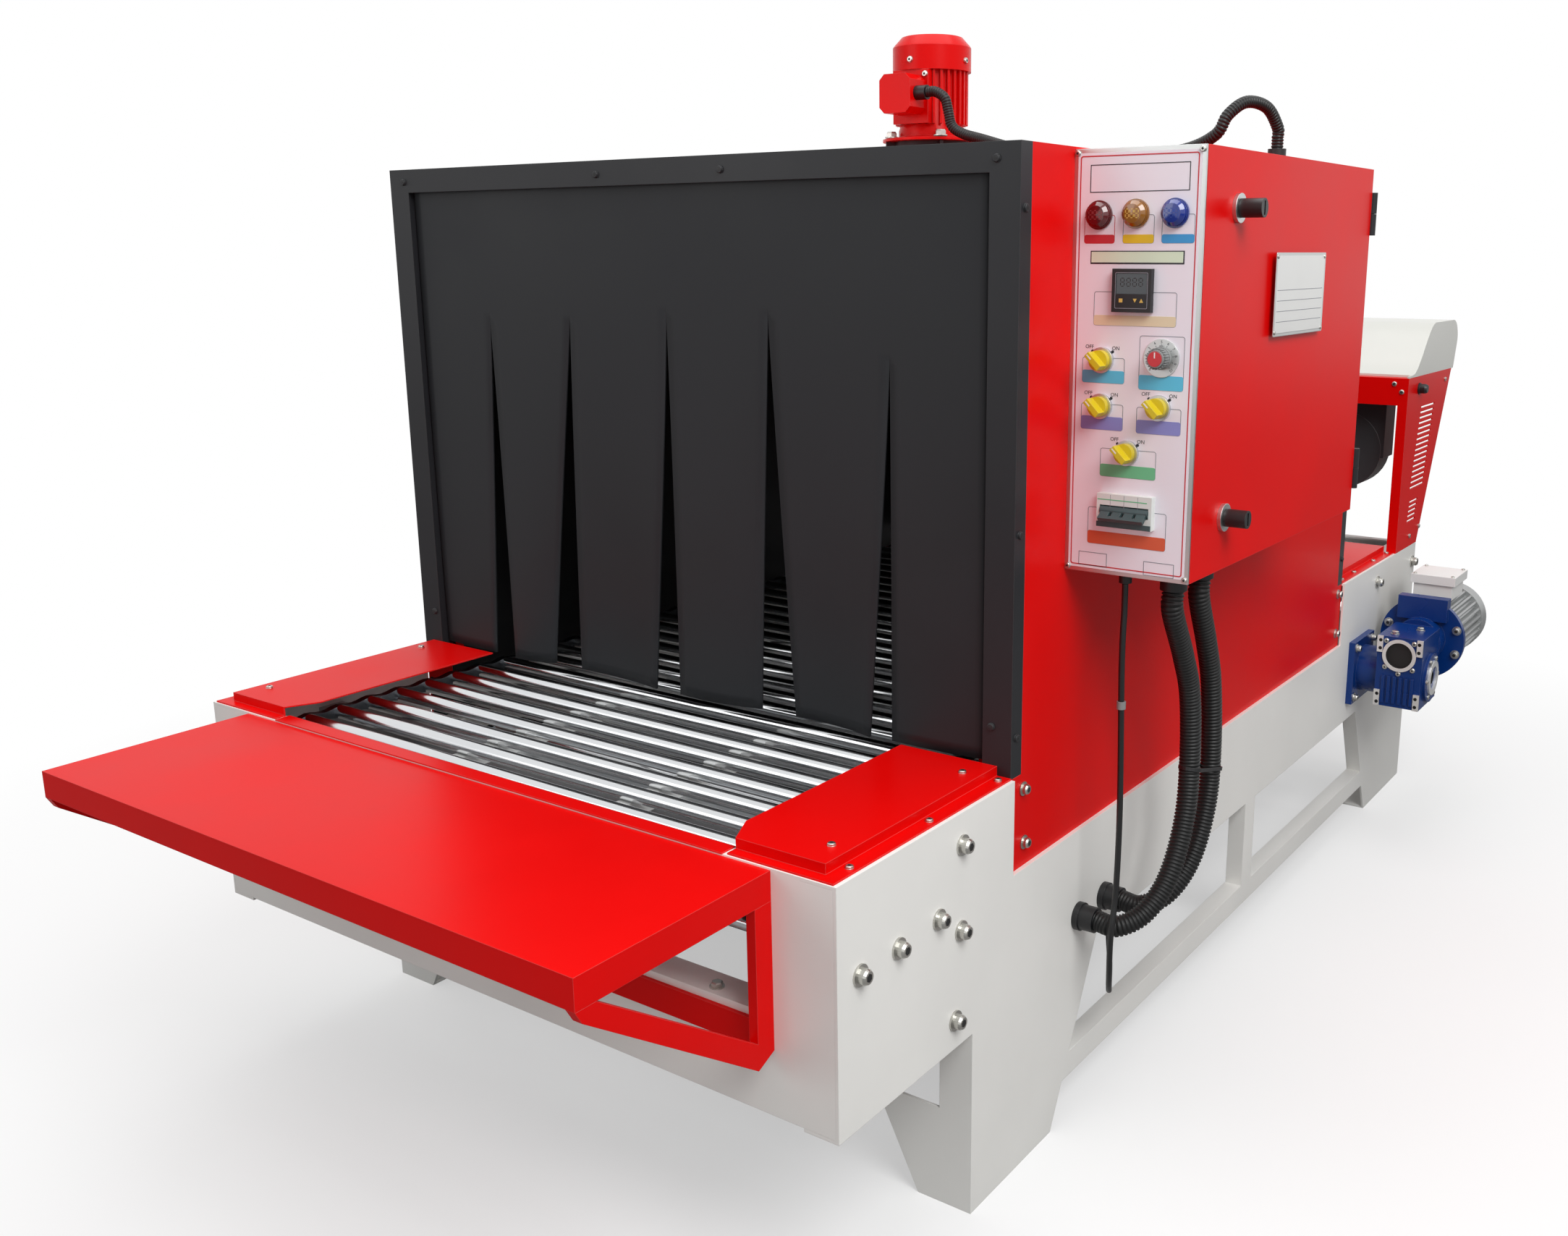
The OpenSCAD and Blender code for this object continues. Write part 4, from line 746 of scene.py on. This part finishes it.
def fastener_tree():
    """Heads on points, along each point's axis: a washer, a head with a bevelled rim and a mark on it."""
    tree = bpy.data.node_groups.new("fasteners", "GeometryNodeTree")
    floats = ["Head radius", "Head height", "Washer radius", "Washer height", "Mark radius"]
    kinds = [("Geometry", "NodeSocketGeometry"), ("Sides", "NodeSocketInt")]
    kinds += [(name, "NodeSocketFloat") for name in floats]
    kinds += [("Metal", "NodeSocketMaterial"), ("Mark", "NodeSocketMaterial")]
    for name, kind in kinds:
        tree.interface.new_socket(name, in_out="INPUT", socket_type=kind)
    tree.interface.new_socket("Geometry", in_out="OUTPUT", socket_type="NodeSocketGeometry")
    given = add(tree, "NodeGroupInput").outputs
    rim = add(tree, "ShaderNodeMath", {0: given["Head radius"], 1: 0.8}, operation="MULTIPLY").outputs[0]
    wall = add(tree, "ShaderNodeMath", {0: given["Head height"], 1: 0.7}, operation="MULTIPLY").outputs[0]
    cap = add(tree, "ShaderNodeMath", {0: given["Head height"], 1: 0.3}, operation="MULTIPLY").outputs[0]
    above = add(tree, "ShaderNodeMath", {0: given["Washer height"], 1: wall}, operation="ADD").outputs[0]
    top = add(tree, "ShaderNodeMath", {0: above, 1: cap}, operation="ADD").outputs[0]
    head_r, washer_r, mark_r = given["Head radius"], given["Washer radius"], given["Mark radius"]
    washer_h, mark_h = given["Washer height"], 0.00015
    solids = []
    for sides, lower, upper, height, lift, finish in (
            (20, washer_r, washer_r, washer_h, 0.0, "Metal"),
            (given["Sides"], head_r, head_r, wall, washer_h, "Metal"),
            (given["Sides"], head_r, rim, cap, above, "Metal"),
            (6, mark_r, mark_r, mark_h, top, "Mark")):
        cone = add(tree, "GeometryNodeMeshCone",
                   {"Vertices": sides, "Radius Bottom": lower, "Radius Top": upper, "Depth": height})
        shift = add(tree, "ShaderNodeCombineXYZ", {"Z": lift})
        moved = add(tree, "GeometryNodeTransform",
                    {"Geometry": cone.outputs["Mesh"], "Translation": shift.outputs["Vector"]})
        finished = add(tree, "GeometryNodeSetMaterial",
                       {"Geometry": moved.outputs["Geometry"], "Material": given[finish]})
        solids.append(finished.outputs["Geometry"])
    head = add(tree, "GeometryNodeJoinGeometry", {"Geometry": solids})
    axis = add(tree, "GeometryNodeInputNamedAttribute", {"Name": "axis"}, data_type="FLOAT_VECTOR")
    turn = add(tree, "GeometryNodeInputNamedAttribute", {"Name": "turn"}, data_type="FLOAT")
    aimed = add(tree, "FunctionNodeAlignRotationToVector", {"Vector": axis.outputs["Attribute"]}, axis="Z")
    spin = add(tree, "FunctionNodeAxisAngleToRotation", {"Axis": UP, "Angle": turn.outputs["Attribute"]})
    turned = add(tree, "FunctionNodeRotateRotation",
                 {"Rotation": aimed.outputs["Rotation"], "Rotate By": spin.outputs["Rotation"]},
                 rotation_space="LOCAL")
    heads = add(tree, "GeometryNodeInstanceOnPoints",
                {"Points": given["Geometry"], "Instance": head.outputs["Geometry"],
                 "Rotation": turned.outputs["Rotation"]})
    real = add(tree, "GeometryNodeRealizeInstances", {"Geometry": heads.outputs["Instances"]})
    add(tree, "NodeGroupOutput", {"Geometry": real.outputs["Geometry"]})
    return tree


FASTENERS = fastener_tree()
SOCKETS = {s.name: s.identifier for s in FASTENERS.interface.items_tree if s.in_out == "INPUT"}


def head(sides, radius, height, washer, washer_height, mark, mark_material, metal=ZINC):
    """Sizes of a fastener's head, in millimetres."""
    sizes = {"Head radius": radius, "Head height": height, "Washer radius": washer,
             "Washer height": washer_height, "Mark radius": mark}
    return {"Sides": sides, "Metal": metal, "Mark": mark_material, **{k: v / 1000 for k, v in sizes.items()}}


# A mark in SHADE is a thin near-black disc on a head: painted shade of its drive recess
CAP_12 = head(20, 9, 10, 12.5, 2.5, 5, SHADE)
CAP_8 = head(16, 6.5, 7, 9, 1.8, 3.6, SHADE)
HEX_12 = head(6, 9, 8, 11, 2, 5, ZINC)
HEX_8 = head(6, 7, 5, 8.5, 1.5, 4, ZINC)
PAN_5 = head(16, 4.6, 2.6, 5, 0.5, 2, SHADE)
PAN_4 = head(12, 3.4, 2.2, 3.6, 0.4, 1.5, SHADE)
RIVET = head(12, 2.6, 1.2, 2.8, 0.2, 1, ZINC)
# A lug hole is not cut: a near-black disc on the face is its painted shade
HOLE_SHADE_DISC = head(12, 2.8, 0.4, 3.4, 0.2, 2, SHADE, metal=SHADE)
KNOB = head(20, 10, 15, 12, 3, 3, ABS_BLACK, metal=ABS_BLACK)
BLACK_PAN = head(16, 4.6, 2.6, 5, 0.5, 2, SHADE, metal=BLACK_COAT)


def fasteners(name, kind, places, body="machine"):
    """One mesh of heads; places holds a point in the machine's millimetres and an outward axis for each."""
    mesh = bpy.data.meshes.new(name)
    mesh.from_pydata([mm(*p) for p, _ in places], [], [])
    axes = [part for _, axis in places for part in axis]
    mesh.attributes.new("axis", "FLOAT_VECTOR", "POINT").data.foreach_set("vector", axes)
    turns = [math.radians(i * 37 % 60) for i in range(len(places))]
    mesh.attributes.new("turn", "FLOAT", "POINT").data.foreach_set("value", turns)
    made = placed(name, mesh)
    heads = made.modifiers.new("heads", "NODES")
    heads.node_group = FASTENERS
    for key, value in kind.items():
        heads[SOCKETS[key]] = value
    return settle(applied(made), body)


def mirrored(places):
    """The same heads on both sides of the machine."""
    return places + [((-p[0], *p[1:]), (-a[0], *a[1:])) for p, a in places]


# Hood's side and rear, flange and lid of the chain covers, sill of the aprons, and corners of a square
HOOD = edge("hood_wall_right", 0, 1)
HOOD_REAR = edge("hood_wall_right", 1, 1)
FLANGE_TOP = edge("infeed_cover_right", 2, 0) + 2
LID_TOP = edge("infeed_cover_right", 2, 1)
SILL = 368
CORNERS = [(u, v) for u in (-1, 1) for v in (-1, 1)]

# Base, hood and covers: bolts on their sides are given by depth and height
BEAM_BOLTS = [(-319, 423), (-248, 423), (-168, 424), (-121, 391), (-119, 496), (-132, 282), (1482, 498),
              (1738, 496)]
SKIRT_BOLTS = [(30, 515), (34, 444), (HOOD_REAR - 22, 519), (HOOD_REAR - 22, 442)]
fasteners("beam_bolts", CAP_12, mirrored([((PLATE, y, z), RIGHT) for y, z in BEAM_BOLTS]))
fasteners("skirt_bolts", CAP_8, mirrored([((HOOD, y, z), RIGHT) for y, z in SKIRT_BOLTS]))
fasteners("frame_screws", BLACK_PAN, mirrored(
    [((HOOD, y, z), RIGHT) for y in (11, HOOD_REAR - 11) for z in (1199, 832, 585)]
    + [((x, y, 1252), axis) for y, axis in ((0, AHEAD), (HOOD_REAR, BACK)) for x in (109, 509)]
    + [((512, 0, 597), AHEAD), ((512, HOOD_REAR, 597), BACK)]))
fasteners("cover_screws", PAN_5, mirrored(
    [((498, y, LID_TOP), UP) for y in (-301, -42)]
    + [((531, y, FLANGE_TOP), UP) for y in (-315, -165, -15, 1290, 1368, 1496, 1590)]
    + [((440, 1500, LID_TOP), UP)]))
fasteners("apron_bolts", HEX_8, mirrored([((371, edge("front_apron", 1, 0) + 14, SILL), UP),
                                          ((371, edge("rear_apron", 1, 1) - 14, SILL), UP)]))
fasteners("tray_rivets", PAN_5, mirrored([((439, edge("front_apron", 1, 0) - 5, 334), AHEAD)]))

# Circulation fan: bolts on its flange, screws of its cowl and the earth screw on its pad
fasteners("fan_bolts", HEX_12, [((FAN[0] + 47 * u, FAN[1] + 47 * v, FAN_LOW + 6), UP) for u, v in CORNERS])
fasteners("fan_screws", PAN_5, [((FAN[0] + COWL_R * dx, FAN[1] + COWL_R * dy, FAN_COWL + 15), (dx, dy, 0))
                                for dx, dy in ((1, 0), (-1, 0), (0, 1), (0, -1))]
          + [((31, PAD_Y, 1426), AHEAD)])

# Gearmotor: flange bolts, near-black discs painted as the shade of the lug holes, cap and ring screws, plugs,
# motor flange bolts and terminal box screws
GEAR_PLATE = PLATE + 12
MOTOR_COLLAR = edge("gear_motor", 1, 0) - 12
TERMINALS_TOP = edge("motor_terminal_box", 2, 1)
TERMINALS_Y = (edge("motor_terminal_box", 1, 0) + 7, edge("motor_terminal_box", 1, 1) - 7)
CAP_SCREWS = [polar(WORM.x, WORM.z, 37, a) for a in (45, 135, 225, 270, 315)]
RING_SCREWS = [polar(OUTPUT.y, OUTPUT.z, 40, a) for a in range(0, 360, 60)]
COLLAR_BOLTS = [polar(WORM.x, WORM.z, 71, a) for a in (20, 160, 200, 340)]
fasteners("gear_flange_bolts", CAP_8, [((GEAR_PLATE, OUTPUT.y + 50 * u, OUTPUT.z + 50 * v), RIGHT)
                                       for u, v in CORNERS])
fasteners("gear_lug_hole_shades", HOLE_SHADE_DISC, [((WORM.x + side * 36.5, CAP, z + dz), AHEAD)
                                   for side in (-1, 1) for z in (306, 414) for dz in (-8, 8)])
fasteners("gear_screws", PAN_5, [((x, CAP + 4, z), AHEAD) for x, z in CAP_SCREWS]
          + [((BOSS, y, z), RIGHT) for y, z in RING_SCREWS])
fasteners("gear_plugs", HEX_8, [((WORM.x + dx, OUTPUT.y + dy, GEAR_Z[1]), UP)
                                for dx, dy in ((-18, -35), (16, 20))])
fasteners("motor_flange_bolts", CAP_8, [((x, MOTOR_COLLAR, z), AHEAD) for x, z in COLLAR_BOLTS])
fasteners("terminal_screws", PAN_4, [((WORM.x + side * 37, y, TERMINALS_TOP), UP)
                                     for side in (-1, 1) for y in TERMINALS_Y])

# Outfeed portal: screws on its front and side, and the knob on its side
fasteners("portal_screws", PAN_5, mirrored(
    [((x, ARCH, z), AHEAD) for x, z in ((517, 888), (533, 872))]
    + [((PLATE, y, z), RIGHT) for y, z in ((1894, 879), (1770, 569), (1699, 558))]))
fasteners("portal_knobs", KNOB, mirrored([((PLATE, 1685, 874), RIGHT)]))


# Control panel: print on the film, in millimetres from the panel's left edge and from its top

PANEL_LEFT = edge("control_panel", 0, 0)
PANEL_TOP = edge("control_panel", 2, 1)
PANEL_FACE = edge("control_panel", 1, 0)
PANEL_W = edge("control_panel", 0, 1) - PANEL_LEFT
PANEL_H = PANEL_TOP - edge("control_panel", 2, 0)
DOOR_FACE = edge("control_door", 0, 1)
DOOR_FRONT = edge("control_door", 1, 0)
DOOR_TOP = edge("control_door", 2, 1)


def on_panel(u, v, lift):
    """Place before the panel's face: u from its left edge, v from its top."""
    return mm(PANEL_LEFT + u, PANEL_FACE - lift, PANEL_TOP - v)


def stands_out(node):
    """How far a node on the panel stands out from its face."""
    return PANEL_FACE - edge(node, 1, 0)


def on_door(u, v, lift):
    """Place on the door's face: u from its front edge, v from its top."""
    return mm(DOOR_FACE + lift, DOOR_FRONT + u, DOOR_TOP - v)


def lettering(shape, text, size, u, v, place, low, high, index, turn=0.0):
    """Words as solid letters, centred on a place and turned clockwise by some degrees."""
    curve = bpy.data.curves.new("letters", "FONT")
    curve.body = text
    curve.size = size
    curve.align_x = "CENTER"
    curve.align_y = "CENTER"
    curve.resolution_u = 3
    made = placed("letters", curve)
    mesh = bpy.data.meshes.new_from_object(made.evaluated_get(bpy.context.evaluated_depsgraph_get()))
    bpy.data.objects.remove(made)
    angle = math.radians(turn)
    flat = bmesh.new()
    flat.from_mesh(mesh)
    bpy.data.meshes.remove(mesh)
    bmesh.ops.remove_doubles(flat, verts=flat.verts, dist=0.001)
    spots = {}
    for vert in flat.verts:
        x, y = vert.co.x, -vert.co.y
        at = (u + x * math.cos(angle) - y * math.sin(angle), v + x * math.sin(angle) + y * math.cos(angle))
        spots[vert.index] = (shape.verts.new(place(*at, low)), shape.verts.new(place(*at, high)))
    for face in flat.faces:
        for level in (0, 1):
            shape.faces.new([spots[vert.index][level] for vert in face.verts]).material_index = index
    for line in flat.edges:
        if line.is_boundary:
            a, b = (spots[vert.index] for vert in line.verts)
            shape.faces.new((a[0], b[0], b[1], a[1])).material_index = index
    flat.free()


def figure_eight(shape, u, v, width, height, thick, place, low, high, index):
    """Unlit seven-segment figure, with its middle at a place."""
    half_w, half_h = width / 2, height / 2
    bars = [bar(u - half_w + thick, y, u + half_w - thick, y, thick) for y in (v - half_h, v, v + half_h)]
    bars += [bar(x, v + side * thick, x, v + side * (half_h - thick), thick)
             for x in (u - half_w, u + half_w) for side in (-1, 1)]
    for outline in bars:
        slab(shape, outline, place, low, high, index)


# Colours of the panel's print, and heights of the film and of the ink
PRINTS = [FILM, INK_RED, INK_BLACK, INK_GREEN, INK_YELLOW, INK_BLUE, INK_BEIGE, INK_SKY, INK_PURPLE,
          INK_MINT, INK_ORANGE, INK_GREY]
FILM_LIFT, INK_LIFT = 0.3, 0.5
# Outlined fields with a coloured foot: left, top, right, bottom, height of the foot and its ink
FIELDS = [(15, 74, 54, 106, 10, INK_RED), (64, 74, 103, 106, 10, INK_YELLOW),
          (112, 74, 152, 106, 10, INK_BLUE), (30, 160, 134, 199, 12, INK_BEIGE),
          (17, 236, 72, 266, 15, INK_SKY), (90, 209, 146, 271, 17, INK_SKY),
          (17, 290, 72, 321, 16, INK_PURPLE), (89, 291, 145, 322, 16, INK_PURPLE),
          (44, 342, 116, 376, 15, INK_MINT), (30, 414, 132, 459, 16, INK_ORANGE)]
# Bare name box and badges: left, top, right and bottom
NAME_BOX = (21, 18, 144, 49)
BADGES = [(19, 470, 57, 487), (105, 473, 144, 490)]
# Middles of the switches, the dial, the controller, the breaker, and the lamps with their figures' ink
SELECTORS = {"conveyor": (43, 239), "heater": (43, 293), "hot_fan": (117, 291), "cool_fan": (79, 346)}
DIAL = (118, 234)
CONTROLLER = (80.5, 158.5)
MAINS = (81.5, 415)
LAMPS = {"red": (34, 74, INK_DULL_RED), "amber": (80, 73, INK_GOLD), "blue": (128, 73, INK_DULL_BLUE)}


def panel_print():
    """Film with its frame, fields, name box, title strip and badges, and the switches' OFF and ON."""
    shape = bmesh.new()

    def filled(outline, colour, lift=INK_LIFT):
        slab(shape, outline, on_panel, 0, lift, PRINTS.index(colour))

    def framed(corners, width, colour, radii=(0, 0)):
        border(shape, *corners, width, radii, on_panel, 0, INK_LIFT, PRINTS.index(colour))

    filled(box(5, 5, PANEL_W - 5, PANEL_H - 5, 3), FILM, FILM_LIFT)
    framed((8, 8, PANEL_W - 8, PANEL_H - 8), 1.4, INK_RED, (3, 2))
    for u0, v0, u1, v1, foot, colour in FIELDS:
        framed((u0, v0, u1, v1), 0.7, INK_RED if colour is INK_RED else INK_GREY, (3, 2.4))
        filled(box(u0 + 0.3, v1 - foot, u1 - 0.3, v1 - 0.3, 2.6), colour, INK_LIFT + 0.05)
    framed(NAME_BOX, 1, INK_BLACK)
    filled(box(24, 114, 141, 129), INK_BLACK)
    filled(box(25.2, 115.2, 139.4, 127.2), INK_GREEN, INK_LIFT + 0.1)
    for corners in BADGES:
        framed(corners, 0.8, INK_GREY)
    black = PRINTS.index(INK_BLACK)
    for u, v in SELECTORS.values():
        for text, side, drop in (("OFF", -1, -15), ("ON", 1, -14)):
            lettering(shape, text, 6.2, u + 17 * side, v + drop, on_panel, 0, INK_LIFT, black)
            filled(disc(u + 13 * side, v - 10, 1.9, 12), INK_BLACK)
            filled(bar(u + 10.5 * side, v - 8, u + 13 * side, v - 10, 0.9), INK_BLACK)
    piece("panel_print", shape, PRINTS)


def dial_print():
    """Figures 0 to 10 round the dial plate, over three quarters of a turn, with a tick at each."""
    shape = bmesh.new()
    low, high = 1.9, 2.2
    for k in range(11):
        turn = 27 * k - 135
        lettering(shape, str(k), 4.6, *polar(*DIAL, 18.4, turn - 90), on_panel, low, high, 0, turn)
        tick = bar(*polar(*DIAL, 14.2, turn - 90), *polar(*DIAL, 15.6, turn - 90), 0.6)
        slab(shape, tick, on_panel, low, high)
    piece("dial_figures", shape, [INK_BLACK])


def dial_knob():
    """Knurled flank, red cap and white pointer of the speed knob."""
    face = stands_out("speed_knob")
    u, v = DIAL
    shape = bmesh.new()
    for k in range(24):
        knurl = bar(*polar(u, v, 11.1, 15 * k), *polar(u, v, 12.4, 15 * k), 1.4)
        slab(shape, knurl, on_panel, 6.3, face - 2, 0)
    slab(shape, disc(u, v, 8.6, 32), on_panel, face - 1, face + 1.0, 1)
    slab(shape, bar(u, v - 1, u, v - 7.6, 1.4), on_panel, face, face + 1.25, 2)
    piece("speed_knob_cap", shape, [ABS_GREY, INK_RED, INK_WHITE], body="speed_dial")


def switch_marks():
    """Pale stripe along each switch handle's ridge."""
    for name, (u, v) in SELECTORS.items():
        face = stands_out("selector_" + name)
        shape = bmesh.new()
        slab(shape, bar(u - 7.4, v - 7.4, u - 2, v - 2, 1.6), on_panel, face - 0.4, face + 0.25)
        body = name + "_switch"
        piece(body + "_mark", shape, [INK_WHITE], body=body)


def meter_face():
    """Screen, unlit figures, three keys and the rim of the temperature controller."""
    u, v = CONTROLLER
    face = stands_out("temperature_controller")
    keys = [box(u - 15, v + 9, u - 10.6, v + 13.4),
            [(u + 2.6, v + 9), (u + 7.4, v + 9), (u + 5, v + 13.4)],
            [(u + 10.6, v + 13.4), (u + 15.4, v + 13.4), (u + 13, v + 9)]]
    shape = bmesh.new()
    slab(shape, box(u - 19.2, v - 19.2, u + 19.2, v + 3.8, 1), on_panel, face - 1.6, face - 0.6, 0)
    for k in range(4):
        figure_eight(shape, u - 11.5 + 7.6 * k, v - 9.5, 4.6, 9, 0.8, on_panel, face - 0.8, face - 0.5, 1)
    for outline in keys:
        slab(shape, outline, on_panel, face - 0.2, face + 0.4, 2)
    border(shape, u - 20.4, v - 20.4, u + 20.4, v + 20.4, 0.6, (1.5, 1.2),
           on_panel, face - 0.2, face + 0.15, 3)
    piece("controller_face", shape, [SCREEN, SHADE, INK_GOLD, INK_GREY])


# Run over which a lens falls by one millimetre from its middle
LENS_FLAT = 10.5


def lamp_figures():
    """Three unlit figures on each lamp's lens."""
    for name, (u, v, colour) in LAMPS.items():
        face = stands_out("lamp_" + name)

        def on_lens(a, b, lift):
            return on_panel(a, b, face + lift - math.hypot(a - u, b - v) / LENS_FLAT)
        shape = bmesh.new()
        for k in (-1, 0, 1):
            figure_eight(shape, u + 5.8 * k, v, 4.2, 9.6, 0.9, on_lens, -0.5, 0.1, 0)
        piece("lamp_%s_figures" % name, shape, [colour])


def breaker_face():
    """Dark foot, stripe over the toggles and joints between the four poles."""
    u, v = MAINS
    face = stands_out("mains_breaker")
    pole = 71 / 4
    left, right = u - 2 * pole, u + 2 * pole
    shape = bmesh.new()
    slab(shape, box(left + 0.6, v + 13.5, right - 0.6, v + 19.8), on_panel, 0.5, face + 1.2, 0)
    slab(shape, box(left + 1, v - 13.6, right - 6, v - 12.4), on_panel, face - 0.2, face + 0.15, 1)
    for x in (u - pole, u, u + pole):
        slab(shape, bar(x, v - 19, x, v + 13, 0.5), on_panel, face - 0.2, face + 0.1, 2)
    piece("breaker_trim", shape, [TEAL, INK_MINT, INK_GREY])


# Plate on the door: its front and rear edge, and its foot and top
DOOR_PLATE_Y = (343, 529)
DOOR_PLATE_Z = (1048, 1151)


def door_plate():
    """Bare riveted plate on the door, ruled into fields."""
    u0, u1 = (y - DOOR_FRONT for y in DOOR_PLATE_Y)
    v1, v0 = (DOOR_TOP - z for z in DOOR_PLATE_Z)
    shape = bmesh.new()
    slab(shape, box(u0, v0, u1, v1, 2), on_door, 0, 0.9, 0)
    slab(shape, box(u0 + 4, v0 + 4, u1 - 4, v1 - 4, 1), on_door, 0.5, 1.0, 1)
    for k in range(4):
        v = v0 + 46 + 13 * k
        slab(shape, bar(u0 + 8, v, u1 - 8, v, 0.8), on_door, 0.8, 1.1, 2)
    piece("door_plate", shape, [STAINLESS, MACHINED, INK_GREY], body="door")
    rivets = [(y, z) for y in (DOOR_PLATE_Y[0] + 5, DOOR_PLATE_Y[1] - 5)
              for z in (DOOR_PLATE_Z[0] + 5, DOOR_PLATE_Z[1] - 5)]
    fasteners("door_plate_rivets", RIVET, [((DOOR_FACE + 0.8, y, z), RIGHT) for y, z in rivets], body="door")


panel_print()
dial_print()
dial_knob()
switch_marks()
meter_face()
lamp_figures()
breaker_face()
door_plate()
fasteners("panel_screws", PAN_4, [((PANEL_LEFT + u, PANEL_FACE, PANEL_TOP - v), AHEAD)
                                  for u in (4.5, PANEL_W - 4.5) for v in (5, PANEL_H - 5)])


# White background, floor and light

def background():
    """White to the eye and in reflections, a plain grey light on the object."""
    world = bpy.data.worlds.new("studio")
    bpy.context.scene.world = world
    world.use_nodes = True
    tree = world.node_tree
    tree.nodes.clear()
    path = add(tree, "ShaderNodeLightPath").outputs
    seen = add(tree, "ShaderNodeMath", {0: path["Is Camera Ray"], 1: path["Is Glossy Ray"]},
               operation="MAXIMUM")
    seen = add(tree, "ShaderNodeMath", {0: seen.outputs[0], 1: path["Is Transmission Ray"]},
               operation="MAXIMUM")
    light = add(tree, "ShaderNodeBackground", {"Color": linear("#ffffff"), "Strength": 0.42})
    white = add(tree, "ShaderNodeBackground", {"Color": linear("#ffffff"), "Strength": 1.0})
    mixed = add(tree, "ShaderNodeMixShader", {0: seen.outputs[0], 1: light.outputs[0], 2: white.outputs[0]})
    add(tree, "ShaderNodeOutputWorld", {"Surface": mixed.outputs[0]})


def floor():
    """Pale floor that keeps the shadow near the object and fades into the white further off."""
    material = bpy.data.materials.new("studio_floor")
    material.use_nodes = True
    tree = material.node_tree
    tree.nodes.clear()
    spot = add(tree, "ShaderNodeTexCoord").outputs["Object"]
    far = add(tree, "ShaderNodeVectorMath", {0: spot}, operation="LENGTH").outputs["Value"]
    fade = add(tree, "ShaderNodeMapRange", {"Value": far, "From Min": 0.9, "From Max": 2.3, "To Min": 0.45,
                                            "To Max": 1.0}).outputs["Result"]
    seen = add(tree, "ShaderNodeLightPath").outputs["Is Camera Ray"]
    fade = add(tree, "ShaderNodeMath", {0: fade, 1: seen}, operation="MULTIPLY").outputs[0]
    colour = add(tree, "ShaderNodeMix", {0: seen, 6: linear("#9a9a9a"), 7: linear("#f6f6f6")},
                 data_type="RGBA").outputs[2]
    pale = add(tree, "ShaderNodeBsdfDiffuse", {"Color": colour}).outputs[0]
    white = add(tree, "ShaderNodeEmission", {"Color": linear("#ffffff"), "Strength": 1.0}).outputs[0]
    mixed = add(tree, "ShaderNodeMixShader", {0: fade, 1: pale, 2: white}).outputs[0]
    add(tree, "ShaderNodeOutputMaterial", {"Surface": mixed})
    shape = bmesh.new()
    bmesh.ops.create_circle(shape, cap_ends=True, segments=64, radius=14)
    mesh = bpy.data.meshes.new("floor")
    shape.to_mesh(mesh)
    shape.free()
    mesh.materials.append(material)
    made = placed("floor", mesh)


def lamp(name, place, target, size, power):
    """Round area light at a place, aimed at a target; its size is in metres and its power in watts."""
    data = bpy.data.lights.new(name, "AREA")
    data.shape = "DISK"
    data.size = size
    data.energy = power
    made = placed(name, data)
    made.location = mm(*place)
    made.rotation_euler = (mm(*target) - made.location).to_track_quat("-Z", "Y").to_euler()


background()
floor()
lamp("key", (2800, -1100, 3300), (100, 500, 600), 2.2, 95)
lamp("fill", (-2200, -3600, 2000), (0, 200, 600), 2.5, 20)
lamp("top", (0, 600, 4200), (0, 600, 600), 3.5, 70)

bpy.context.scene.view_settings.view_transform = "Standard"
